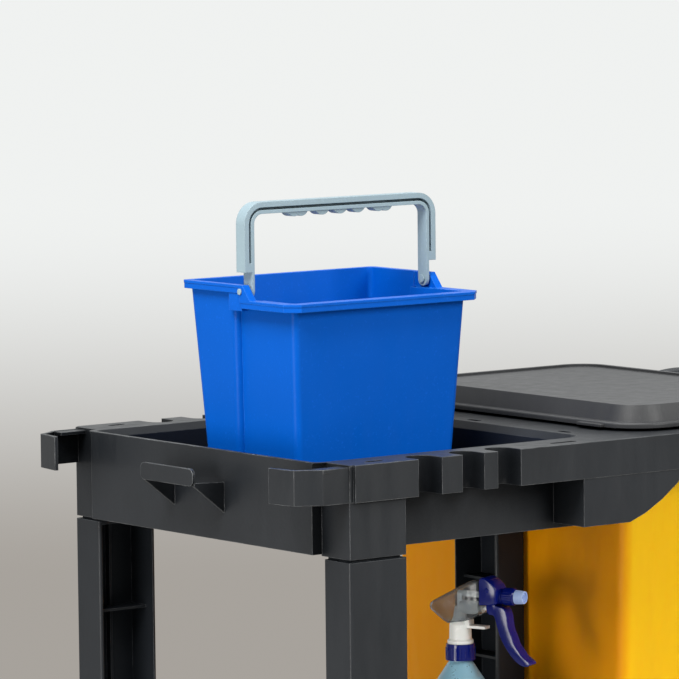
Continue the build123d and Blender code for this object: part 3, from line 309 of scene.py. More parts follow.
@dataclass(frozen=True)
class Plated:
    """Zinc-plated or pressed metal with drawn streaks and dulled edges."""

    name: str
    colour: Colour
    roughness: float = 0.34

    def make(self) -> bpy.types.Material:
        """Build the material."""
        recipe = Recipe(self.name)
        spangle = recipe.spread(recipe.noise(220.0, 2.0), 0.35, 0.65)
        colour = recipe.blend(spangle, tuple(c * 0.82 for c in self.colour), self.colour)
        normal, edge = recipe.soft_edges(0.0007)
        colour = recipe.blend(recipe.sum("MULTIPLY", edge, 0.35), colour, (0.85, 0.85, 0.86))
        streaks = recipe.noise(1.0, 4.0, 0.6, recipe.stretched((90.0, 700.0, 90.0)))
        rough = recipe.spread(streaks, 0.3, 0.7, self.roughness - 0.1, self.roughness + 0.12)
        normal = recipe.relief(streaks, 0.00003, normal)
        recipe.surface(Base_Color=colour, Roughness=rough, Normal=normal, Metallic=1.0)
        return recipe.material


@dataclass(frozen=True)
class Rubber:
    """Non-marking rubber, dusty where it rolls."""

    name: str
    colour: Colour
    dust: Colour = (0.33, 0.32, 0.30)

    def make(self) -> bpy.types.Material:
        """Build the material."""
        recipe = Recipe(self.name)
        cloud = recipe.spread(recipe.noise(40.0, 5.0, 0.65), 0.35, 0.75, 0.0, 0.45)
        colour = recipe.blend(cloud, self.colour, self.dust)
        normal, _edge = recipe.soft_edges(0.0012)
        grain = recipe.noise(800.0, 3.0, 0.6)
        normal = recipe.relief(grain, 0.00012, normal)
        rough = recipe.spread(recipe.noise(90.0, 3.0), 0.3, 0.7, 0.68, 0.86)
        recipe.surface(Base_Color=colour, Roughness=rough, Normal=normal, IOR=1.52)
        return recipe.material


@dataclass(frozen=True)
class Clear:
    """A see-through plastic or liquid with faint moulding swirls."""

    name: str
    colour: Colour
    roughness: float = 0.08
    clearness: float = 1.0
    bend: float = 1.45
    swirl: float = 0.0002

    def make(self) -> bpy.types.Material:
        """Build the material."""
        recipe = Recipe(self.name)
        cloud = recipe.spread(recipe.noise(60.0, 3.0), 0.3, 0.7)
        colour = recipe.blend(cloud, tuple(c * 0.93 for c in self.colour), self.colour)
        swirl = recipe.noise(1.0, 2.0, 0.5, recipe.stretched((140.0, 140.0, 40.0)))
        rough = recipe.spread(recipe.noise(160.0, 3.0), 0.3, 0.7, self.roughness, self.roughness + 0.08)
        normal = recipe.relief(swirl, self.swirl)
        recipe.surface(Base_Color=colour, Roughness=rough, Normal=normal, IOR=self.bend,
                       Transmission_Weight=self.clearness)
        return recipe.material


# The pale edge colours and their strengths below paint highlights mixed with scuffs along edges; CHARCOAL's
# hollow_shade paints shade into its hollows.
CHARCOAL = Moulded("charcoal_moulded", (0.0125, 0.0145, 0.0175), 0.38, 1200.0, 0.00004, 0.0014,
                   (0.20, 0.21, 0.22), 0.14, 0.9, 0.40, hollow_shade=0.8)
LEG_BLACK = Moulded("leg_moulded", (0.011, 0.013, 0.016), 0.42, 1400.0, 0.00003, 0.0012,
                    (0.14, 0.15, 0.16), 0.14, 0.7, 0.36)
LID_GREY = Moulded("lid_grained", (0.030, 0.031, 0.033), 0.50, 700.0, 0.00018, 0.0012,
                   (0.14, 0.14, 0.14), 0.12, 0.4, 0.55)
HUB_GREY = Moulded("hub_moulded", (0.10, 0.105, 0.11), 0.5, 1000.0, 0.00005, 0.0010)
BUCKET_BLUE = Moulded("bucket_blue", (0.0006, 0.088, 0.47), 0.36, 700.0, 0.00003, 0.0011,
                      (0.05, 0.24, 0.80), 0.05, 0.7, 0.10)
BAIL_GREY = Moulded("bail_grey", (0.25, 0.335, 0.38), 0.40, 900.0, 0.00003, 0.0010,
                    (0.42, 0.50, 0.54), 0.05, 0.4)
NAVY = Moulded("navy_gloss", (0.001, 0.006, 0.13), 0.13, 500.0, 0.00001, 0.0008,
               (0.02, 0.05, 0.35), 0.05, 0.2, 0.35)
PUMP_WHITE = Moulded("pump_white", (0.78, 0.79, 0.76), 0.35, 500.0, 0.00001, 0.0006,
                     (0.85, 0.85, 0.83), 0.03, 0.1, 0.4, 0.1)
NOZZLE_PALE = Moulded("nozzle_pale", (0.38, 0.50, 0.80), 0.3, 500.0, 0.00001, 0.0005,
                      (0.75, 0.8, 0.9), 0.04, 0.1)
THREAD = Moulded("bag_thread", (0.55, 0.30, 0.02), 0.8, 3000.0, 0.00015, 0.0003)
# Its second colour is painted shade: a deeper orange put on crease lines and forward-facing panels, and also
# mixed in a little at random.
BAG_YELLOW = Vinyl("bag_vinyl", (0.95, 0.47, 0.003), (0.97, 0.305, 0.0))
BRASS = Plated("eyelet_brass", (0.72, 0.58, 0.33), 0.30)
ZINC = Plated("zinc_plate", (0.60, 0.61, 0.63), 0.34)
TYRE = Rubber("tyre_rubber", (0.05, 0.05, 0.053), (0.20, 0.19, 0.18))
BOTTLE_BLUE = Clear("bottle_blue", (0.42, 0.74, 0.90), 0.26, 0.45, 1.5, 0.0004)
LIQUID_BLUE = Clear("cleaning_liquid", (0.30, 0.68, 0.88), 0.02, 0.9, 1.33, 0.0)
SMOKY_CLEAR = Clear("smoky_clear", (0.60, 0.63, 0.66), 0.03, 0.95, 1.30, 0.0002)


# ------------------------------------------------------------------ workbench
class Bench:
    """Modelling steps that are done with operators on one object at a time."""

    @staticmethod
    def clear() -> None:
        """Leave edit mode and select nothing."""
        if bpy.context.mode != "OBJECT":
            bpy.ops.object.mode_set(mode="OBJECT")
        bpy.ops.object.select_all(action="DESELECT")

    @staticmethod
    def pick(piece: bpy.types.Object) -> None:
        """Make a piece the only selected and active one."""
        Bench.clear()
        piece.select_set(True)
        bpy.context.view_layer.objects.active = piece

    @staticmethod
    def tidy(piece: bpy.types.Object, fill: bool = False) -> bpy.types.Object:
        """Merge doubles, close open ends if asked, and turn the faces outwards."""
        Bench.pick(piece)
        bpy.ops.object.mode_set(mode="EDIT")
        bpy.ops.mesh.select_all(action="SELECT")
        bpy.ops.mesh.remove_doubles(threshold=1e-6)
        if fill:
            bpy.ops.mesh.select_all(action="SELECT")
            bpy.ops.mesh.fill_holes(sides=0)
        bpy.ops.mesh.select_all(action="SELECT")
        bpy.ops.mesh.normals_make_consistent(inside=False)
        bpy.ops.object.mode_set(mode="OBJECT")
        return piece

    @staticmethod
    def turned(name: str, profile: Sequence[tuple[float, float]], sides: int = 48,
               fill: bool = True) -> bpy.types.Object:
        """A shape raised ring by ring from a circle, round the Z axis.

        Args:
            name: The new object's name.
            profile: Radius and height of each ring, in order.
            sides: Points round the ring.
            fill: Whether to cap the first and last ring.

        Returns:
            The new object.
        """
        Bench.clear()
        radius, height = profile[0]
        bpy.ops.mesh.primitive_circle_add(vertices=sides, radius=radius, location=(0, 0, height))
        piece = bpy.context.object
        piece.name = name
        bpy.ops.object.transform_apply(location=True, rotation=True, scale=True)
        bpy.ops.object.mode_set(mode="EDIT")
        bpy.ops.mesh.select_all(action="SELECT")
        for next_radius, next_height in profile[1:]:
            bpy.ops.mesh.extrude_edges_indiv()
            bpy.ops.transform.translate(value=(0, 0, next_height - height))
            grow = next_radius / radius
            bpy.ops.transform.resize(value=(grow, grow, 1.0), center_override=(0, 0, next_height))
            radius, height = next_radius, next_height
        bpy.ops.object.mode_set(mode="OBJECT")
        return Bench.tidy(piece, fill)

    @staticmethod
    def slab(name: str, outline: Sequence[tuple[float, float]], low: float,
             high: float) -> bpy.types.Object:
        """A flat outline in X and Z, extruded along Y.

        Args:
            name: The new object's name.
            outline: The corners in order, as X and Z.
            low: The Y value that it starts at.
            high: The Y value that it ends at.

        Returns:
            The new object.
        """
        Bench.clear()
        bpy.ops.mesh.primitive_circle_add(vertices=len(outline), radius=1.0, fill_type="NGON")
        piece = bpy.context.object
        piece.name = name
        for vertex, (x, z) in zip(piece.data.vertices, outline):
            vertex.co = (x, low, z)
        bpy.ops.object.mode_set(mode="EDIT")
        bpy.ops.mesh.select_all(action="SELECT")
        bpy.ops.mesh.extrude_region()
        bpy.ops.transform.translate(value=(0, high - low, 0))
        bpy.ops.object.mode_set(mode="OBJECT")
        return Bench.tidy(piece)

    @staticmethod
    def block(name: str, low: Point, high: Point) -> bpy.types.Object:
        """A box between two corners, ready to be shaped."""
        Bench.clear()
        middle = [(a + b) / 2 for a, b in zip(low, high)]
        bpy.ops.mesh.primitive_cube_add(size=1.0, location=middle)
        piece = bpy.context.object
        piece.name = name
        piece.scale = [b - a for a, b in zip(low, high)]
        bpy.ops.object.transform_apply(location=True, rotation=True, scale=True)
        return piece

    @staticmethod
    def apply(piece: bpy.types.Object, kind: str, **settings: object) -> bpy.types.Object:
        """Add a modifier and apply it.

        Args:
            piece: The object.
            kind: The modifier's type.
            **settings: Its settings.

        Returns:
            The same object.
        """
        Bench.pick(piece)
        modifier = piece.modifiers.new(kind.lower(), kind)
        for key, value in settings.items():
            setattr(modifier, key, value)
        bpy.ops.object.modifier_apply(modifier=modifier.name)
        return piece

    @staticmethod
    def round_off(piece: bpy.types.Object, width: float, steps: int = 3,
                  angle: float = 0.5) -> bpy.types.Object:
        """Bevel every edge sharper than an angle, then smooth by angle."""
        Bench.apply(piece, "BEVEL", width=width, segments=steps, limit_method="ANGLE",
                    angle_limit=angle, use_clamp_overlap=True, harden_normals=False)
        return Bench.smooth(piece)

    @staticmethod
    def smooth(piece: bpy.types.Object, angle: float = 0.6) -> bpy.types.Object:
        """Shade smoothly except over edges sharper than an angle."""
        Bench.pick(piece)
        bpy.ops.object.shade_smooth_by_angle(angle=angle)
        return piece

    @staticmethod
    def fuse(name: str, pieces: Sequence[bpy.types.Object]) -> bpy.types.Object:
        """Join several pieces into one object."""
        Bench.pick(pieces[0])
        for piece in pieces:
            piece.select_set(True)
        bpy.ops.object.join()
        pieces[0].name = name
        return pieces[0]

    @staticmethod
    def put(piece: bpy.types.Object, place: Matrix) -> bpy.types.Object:
        """Move a piece by writing its place into its mesh."""
        piece.data.transform(place)
        piece.data.update()
        return piece


def settle(piece: bpy.types.Object, body: str, finish: bpy.types.Material,
           stands_for: Iterable[str] = ()) -> bpy.types.Object:
    """Dress a finished piece and hang it on its body.

    Args:
        piece: The object, in place.
        body: The body that it rides on.
        finish: Its material.
        stands_for: CAD nodes that it replaces.

    Returns:
        The same object.
    """
    piece.data.materials.clear()
    piece.data.materials.append(finish)
    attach(piece, body)
    nodes = list(stands_for)
    if nodes:
        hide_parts(*nodes)
    LOG.info("%s: %d faces on %s", piece.name, len(piece.data.polygons), body)
    return piece


# ------------------------------------------------------------------ the stage
@dataclass
class Studio:
    """The pale room, its lights and the camera."""

    camera_spot: Point = (-3.5295, -4.4600, 1.6068)
    heading: float = 37.3
    downward: float = 5.31
    roll: float = -0.61
    lens: float = 267.93
    wall_colour: Colour = (0.87, 0.885, 0.875)
    low_colour: Colour = (0.385, 0.36, 0.33)
    floor_colour: Colour = (0.60, 0.59, 0.57)
    ambient: float = 0.48
    key: float = 190.0
    fill: float = 85.0
    low: float = 36.0
    top: float = 45.0
    sheen: float = 0.75

    def camera(self) -> None:
        """Place the camera by its heading, downward tilt and roll, in degrees."""
        yaw, tilt, roll = (math.radians(a) for a in (self.heading, self.downward, self.roll))
        ahead = Vector((math.sin(yaw) * math.cos(tilt), math.cos(yaw) * math.cos(tilt), -math.sin(tilt)))
        right = Vector((math.cos(yaw), -math.sin(yaw), 0.0))
        above = right.cross(ahead)
        turned_right = right * math.cos(roll) + above * math.sin(roll)
        turned_above = above * math.cos(roll) - right * math.sin(roll)
        data = bpy.data.cameras.new("studio_camera")
        data.lens = self.lens
        data.sensor_width = 36.0
        data.clip_end = 60.0
        camera = bpy.data.objects.new("studio_camera", data)
        bpy.context.scene.collection.objects.link(camera)
        columns = Matrix((turned_right, turned_above, -ahead)).transposed()
        camera.matrix_world = Matrix.Translation(self.camera_spot) @ columns.to_4x4()
        bpy.context.scene.camera = camera

    def room(self) -> None:
        """A pale floor that fades out into the surroundings a few metres away."""
        Bench.clear()
        bpy.ops.mesh.primitive_plane_add(size=14.0, location=(0, 0, 0))
        floor = bpy.context.object
        floor.name = "studio_floor"
        recipe = Recipe("studio_paper")
        cloud = recipe.spread(recipe.noise(1.2, 3.0), 0.3, 0.7)
        colour = recipe.blend(cloud, tuple(c * 0.985 for c in self.floor_colour), self.floor_colour)
        length = recipe.add("ShaderNodeVectorMath", operation="LENGTH")
        recipe.join(recipe.place, length.inputs[0])
        fade = recipe.spread(length.outputs["Value"], 1.6, 3.2, 1.0, 0.0)
        recipe.surface(Base_Color=colour, Roughness=0.85, Alpha=fade)
        floor.data.materials.append(recipe.material)

    def sky(self) -> None:
        """Pale surroundings: bright to look at, softer as a light, and warmer low down."""
        world = bpy.data.worlds.new("studio_sky")
        world.use_nodes = True
        tree = world.node_tree
        place = tree.nodes.new("ShaderNodeTexCoord")
        split = tree.nodes.new("ShaderNodeSeparateXYZ")
        tree.links.new(place.outputs["Generated"], split.inputs[0])
        ramp = tree.nodes.new("ShaderNodeValToRGB")
        ramp.color_ramp.interpolation = "EASE"
        stops = ramp.color_ramp.elements
        stops[0].position, stops[0].color = 0.36, (*self.low_colour, 1.0)
        stops[1].position, stops[1].color = 0.435, (*self.wall_colour, 1.0)
        lift = tree.nodes.new("ShaderNodeMath")
        lift.operation = "ADD"
        lift.inputs[1].default_value = 0.5
        tree.links.new(split.outputs["Z"], lift.inputs[0])
        tree.links.new(lift.outputs[0], ramp.inputs[0])
        rays = tree.nodes.new("ShaderNodeLightPath")
        shiny = tree.nodes.new("ShaderNodeMapRange")
        shiny.inputs["To Min"].default_value = self.ambient
        shiny.inputs["To Max"].default_value = self.sheen
        tree.links.new(rays.outputs["Is Glossy Ray"], shiny.inputs["Value"])
        strength = tree.nodes.new("ShaderNodeMapRange")
        tree.links.new(rays.outputs["Is Camera Ray"], strength.inputs["Value"])
        tree.links.new(shiny.outputs["Result"], strength.inputs["To Min"])
        background = tree.nodes["Background"]
        tree.links.new(ramp.outputs["Color"], background.inputs["Color"])
        tree.links.new(strength.outputs["Result"], background.inputs["Strength"])
        bpy.context.scene.world = world
        bpy.context.scene.view_settings.view_transform = "Standard"

    def lights(self) -> None:
        """Four large soft lamps."""
        lamps = (("key_lamp", (-2.2, -0.9, 3.9), 1.8, self.key, (1.0, 0.99, 0.97)),
                 ("near_lamp", (1.0, -3.4, 2.5), 1.4, self.fill, (1.0, 0.99, 0.97)),
                 ("low_lamp", (-3.0, -0.6, 0.75), 1.0, self.low, (1.0, 0.97, 0.93)),
                 ("top_lamp", (0.8, 1.0, 3.6), 1.8, self.top, (0.97, 0.985, 1.0)))
        for name, spot, size, power, colour in lamps:
            data = bpy.data.lights.new(name, "AREA")
            data.size = size
            data.energy = power
            data.color = colour
            lamp = bpy.data.objects.new(name, data)
            bpy.context.scene.collection.objects.link(lamp)
            aim = Vector((0.0, 0.0, 0.85)) - Vector(spot)
            lamp.matrix_world = (Matrix.Translation(spot)
                                 @ aim.to_track_quat("-Z", "Y").to_matrix().to_4x4())

    def build(self) -> None:
        """Set up the camera, the room and the lights."""
        self.camera()
        self.room()
        self.sky()
        self.lights()
        LOG.info("studio ready")


# ------------------------------------------------------------------ carried-over frame parts
@dataclass
class FrameFinishes:
    """Gives every carried-over solid its finish."""

    groups: dict[str, tuple[str, ...]] = field(default_factory=lambda: {
        "charcoal": ("top_deck", "middle_shelf", "base_platform", "base_rim", "push_handle",
                     "bag_pegs", "axle_caps"),
        "leg": ("upper_leg_left", "upper_leg_right", "lower_leg_left", "lower_leg_right", "centre_post"),
        "lid": ("bag_lid",),
        "brass": ("bag_eyelets",),
        "zinc": ("lid_hinge_pins", "rear_axle", "caster_bolts", "caster_plate_left", "caster_plate_right",
                 "caster_fork_left", "caster_fork_right", "caster_axle_left", "caster_axle_right"),
        "hub": ("rear_hub_left", "rear_hub_right", "caster_wheel_left", "caster_wheel_right"),
        "tyre": ("rear_tyre_left", "rear_tyre_right", "caster_tyre_left", "caster_tyre_right"),
        "blue": ("bucket",),
        "bail": ("bucket_handle", "bucket_pivots"),
        "white": ("spray_neck", "pump_piston", "dip_tube"),
        "navy": ("spray_collar", "spray_hood", "spray_trigger"),
        "pale": ("spray_nozzle",),
        "clear": ("spray_shroud",),
        "bottle": ("spray_bottle",),
        "liquid": ("cleaning_liquid",),
    })

    def dress(self, finishes: dict[str, bpy.types.Material]) -> None:
        """Put each group's material on its nodes.

        Args:
            finishes: The materials, by group name.
        """
        for group, nodes in self.groups.items():
            for node in nodes:
                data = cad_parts[node].data
                data.materials.clear()
                data.materials.append(finishes[group])
            LOG.info("%s: %d carried-over parts", group, len(nodes))


# ------------------------------------------------------------------ waste bag
@dataclass
class WasteBag:
    """The vinyl bag: a lofted shell that hangs from its pegs, folds and sags, with a sewn hem."""

    around: int = 320
    down: int = 88
    corner: float = 0.018
    fold: float = 0.0115
    wall: float = 0.0012
    hem_depth: float = 0.032
    scallop: float = 0.004
    scallops: int = 10
    floor_turn: float = 0.028
    floor_share: float = 0.97
    seed: int = 11

    def __post_init__(self) -> None:
        """Read the bag's room from the frame."""
        self.low, self.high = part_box("waste_bag")
        self.random = random.Random(self.seed)
        self.folds = [(self.random.uniform(0.0, 1.0), self.random.uniform(0.025, 0.060),
                       self.random.uniform(-1.0, 1.0), self.random.uniform(0.0, 0.3),
                       self.random.uniform(-0.03, 0.03)) for _ in range(26)]
        self.folds += [(self.random.uniform(0.0, 1.0), self.random.uniform(0.008, 0.014),
                        self.random.uniform(-0.35, 0.35), self.random.uniform(0.0, 1.2),
                        self.random.uniform(-0.05, 0.05)) for _ in range(24)]

    def outline(self, share: float, inset: float = 0.0) -> tuple[np.ndarray, np.ndarray]:
        """The bag's plan at a height.

        Args:
            share: 0 at the mouth and 1 at the floor.
            inset: How far the plan is drawn in.

        Returns:
            The points round the plan, and the outward direction at each.
        """
        x0 = self.low.x + 0.004 * share + inset
        x1 = self.high.x - 0.012 * share - inset
        half = self.high.y - 0.024 * share - inset
        corner = max(0.004, self.corner - 0.3 * inset)
        straight = (2 * (half - corner), (x1 - x0) - 2 * corner)
        arc = corner * math.pi / 2
        total = 2 * (straight[0] + straight[1]) + 4 * arc
        points, ways = [], []
        centres = ((x1 - corner, half - corner), (x0 + corner, half - corner),
                   (x0 + corner, -half + corner), (x1 - corner, -half + corner))
        runs = (straight[0], arc, straight[1], arc, straight[0], arc, straight[1], arc)
        for i in range(self.around):
            run = total * i / self.around
            leg = 0
            while run > runs[leg] and leg < 7:
                run -= runs[leg]
                leg += 1
            if leg % 2 == 1:
                angle = (leg // 2) * math.pi / 2 + run / corner
                centre = centres[leg // 2]
                way = (math.cos(angle), math.sin(angle))
                point = (centre[0] + corner * way[0], centre[1] + corner * way[1])
            else:
                way = ((1, 0), (0, 1), (-1, 0), (0, -1))[leg // 2]
                start = ((x1, -half + corner), (x1 - corner, half), (x0, half - corner),
                         (x0 + corner, -half))[leg // 2]
                ahead = ((0, 1), (-1, 0), (0, -1), (1, 0))[leg // 2]
                point = (start[0] + ahead[0] * run, start[1] + ahead[1] * run)
            points.append(point)
            ways.append(way)
        return np.array(points), np.array(ways)

    def fold_depth(self, around: np.ndarray, share: float) -> np.ndarray:
        """How far the cloth stands out at a height: narrow folds that drift, widen and fade.

        Args:
            around: Place round the bag, from 0 to 1.
            share: 0 at the mouth and 1 at the floor.

        Returns:
            The distance outwards, in metres.
        """
        total = np.zeros(len(around))
        for centre, width, strength, start, drift in self.folds:
            grown = min(1.0, max(0.0, (share - start * 0.15) / 0.07))
            wide = width * (0.75 + 0.9 * share)
            gap = (around - centre - drift * share + 0.5) % 1.0 - 0.5
            total += strength * grown * np.exp(-(gap / (wide * 0.45)) ** 2)
        swell = 0.35 * np.sin(2 * math.pi * (3 * around + 0.8 * share)) * share
        return (total * 0.62 + swell) * self.fold

    def shell(self) -> bpy.types.Object:
        """Raise the shell ring by ring, then push its points into folds."""
        Bench.clear()
        bpy.ops.mesh.primitive_circle_add(vertices=self.around, radius=0.2, location=(0, 0, self.high.z))
        bag = bpy.context.object
        bag.name = "bag_shell"
        bpy.ops.object.transform_apply(location=True, rotation=True, scale=True)
        bpy.ops.object.mode_set(mode="EDIT")
        bpy.ops.mesh.select_all(action="SELECT")
        for _ in range(self.down):
            bpy.ops.mesh.extrude_edges_indiv()
            bpy.ops.transform.translate(value=(0, 0, -0.008))
        bpy.ops.object.mode_set(mode="OBJECT")
        around = np.arange(self.around) / self.around
        rows = []
        for row in range(self.down + 1):
            rows.append(self.ring(around, row / self.down))
        bag.data.vertices.foreach_set("co", np.concatenate(rows).astype(np.float32).ravel())
        bag.data.update()
        return bag

    def ring(self, around: np.ndarray, step: float) -> np.ndarray:
        """One ring of points, from the hem down the side and in across the floor.

        Args:
            around: Place round the bag, from 0 to 1.
            step: 0 at the mouth and 1 at the middle of the floor.

        Returns:
            The ring's points.
        """
        side_end, turn_end = 0.84, 0.91
        tall = self.high.z - self.low.z
        if step <= side_end:
            share = 0.965 * step / side_end
            points, ways = self.outline(share)
            quiet = min(1.0, max(0.0, (1.0 - share) / 0.12)) * min(1.0, max(0.0, (share - 0.02) / 0.06))
            depth = self.fold_depth(around, share) * quiet
            side_on = np.abs(ways[:, 1])
            depth = depth * (0.25 + 0.75 * side_on)
            depth = np.clip(depth - 0.002 * quiet, -0.015, 0.0035)
            droop = self.droop(around) * (1.0 - share) ** 6
            height = self.high.z - tall * share - droop
            return np.column_stack([points + ways * depth[:, None], height])
        if step <= turn_end:
            angle = (step - side_end) / (turn_end - side_end) * math.pi / 2
            points, _ways = self.outline(self.floor_share, self.floor_turn * (1.0 - math.cos(angle)))
            height = self.low.z + self.floor_turn * (1.0 - math.sin(angle)) + 0.0005
            return np.column_stack([points, np.full(len(around), height)])
        inward = (step - turn_end) / (1.0 - turn_end)
        points, _ways = self.outline(self.floor_share, self.floor_turn)
        middle = points.mean(axis=0)
        points = middle + (points - middle) * (1.0 - inward)
        wrinkle = 0.002 * np.sin(2 * math.pi * 9 * around) * (1.0 - inward) * inward * 4
        return np.column_stack([points, np.full(len(around), self.low.z + 0.0005) + np.abs(wrinkle)])

    def droop(self, around: np.ndarray) -> np.ndarray:
        """How far the mouth's edge hangs below its height, lowest half way between the pegs."""
        return self.scallop * (1.0 - np.cos(2 * math.pi * self.scallops * around))

    def cloth_map(self, piece: bpy.types.Object) -> None:
        """Lay a UV map in metres: round the bag and down it, or across it on the floor."""
        data = piece.data
        layer = data.uv_layers.new(name="cloth")
        middle_x = (self.low.x + self.high.x) / 2
        for face in data.polygons:
            flat = abs(face.normal.z) > 0.7
            for loop in face.loop_indices:
                spot = data.vertices[data.loops[loop].vertex_index].co
                if flat:
                    layer.data[loop].uv = (spot.x, spot.y)
                elif abs(face.normal.y) > abs(face.normal.x):
                    layer.data[loop].uv = (spot.x, spot.z)
                else:
                    layer.data[loop].uv = (spot.y + middle_x, spot.z)

    def hem(self) -> bpy.types.Object:
        """The doubled band round the mouth, rolled over its top edge."""
        profile = [(-0.0012, self.hem_depth), (0.0016, self.hem_depth), (0.0018, 0.003),
                   (0.0010, 0.0), (-0.0018, 0.0), (-0.0030, 0.003), (-0.0030, self.hem_depth)]
        Bench.clear()
        bpy.ops.mesh.primitive_circle_add(vertices=self.around, radius=0.2)
        band = bpy.context.object
        band.name = "bag_hem"
        bpy.ops.object.mode_set(mode="EDIT")
        bpy.ops.mesh.select_all(action="SELECT")
        for _ in profile:
            bpy.ops.mesh.extrude_edges_indiv()
            bpy.ops.transform.translate(value=(0, 0, -0.003))
        bpy.ops.object.mode_set(mode="OBJECT")
        around = np.arange(self.around) / self.around
        points, ways = self.outline(0.0)
        rows = []
        for out, below in profile + profile[:1]:
            height = np.full(self.around, self.high.z - below) - self.droop(around)
            rows.append(np.column_stack([points + ways * out, height]))
        band.data.vertices.foreach_set("co", np.concatenate(rows).astype(np.float32).ravel())
        return Bench.tidy(band)

    def stitches(self) -> bpy.types.Object:
        """Two rows of lockstitch along the hem, each stitch a small rounded dash."""
        stitch = Bench.block("hem_stitches", (-0.0016, -0.00045, -0.0004), (0.0016, 0.00045, 0.0004))
        Bench.apply(stitch, "BEVEL", width=0.0003, segments=1)
        template = stitch.data.copy()
        bpy.data.objects.remove(stitch)
        points, ways = self.outline(0.0)
        copies = []
        for row_below in (0.006, self.hem_depth - 0.005):
            for i in range(0, self.around, 2):
                way = Vector((*ways[i], 0.0))
                along = Vector((-way.y, way.x, 0.0))
                height = self.high.z - row_below - float(self.droop(np.float64(i / self.around)))
                spot = Vector((*points[i], height)) + way * 0.0019
                frame_of = Matrix((along, way, Vector((0, 0, 1)))).transposed().to_4x4()
                dash = template.copy()
                dash.transform(Matrix.Translation(spot) @ frame_of)
                piece = bpy.data.objects.new("stitch", dash)
                bpy.context.scene.collection.objects.link(piece)
                copies.append(piece)
        return Bench.fuse("hem_stitches", copies)

    def build(self, vinyl: bpy.types.Material, thread: bpy.types.Material) -> None:
        """Model the bag and dress it.

        Args:
            vinyl: The bag's cloth.
            thread: The stitching.
        """
        bag = self.shell()
        Bench.tidy(bag)
        Bench.apply(bag, "SOLIDIFY", thickness=self.wall, offset=-1.0)
        self.cloth_map(bag)
        Bench.smooth(bag, 1.0)
        settle(bag, "cart", vinyl, ["waste_bag"])
        hem = self.hem()
        self.cloth_map(hem)
        Bench.smooth(hem, 0.8)
        settle(hem, "cart", vinyl)
        settle(self.stitches(), "cart", thread)


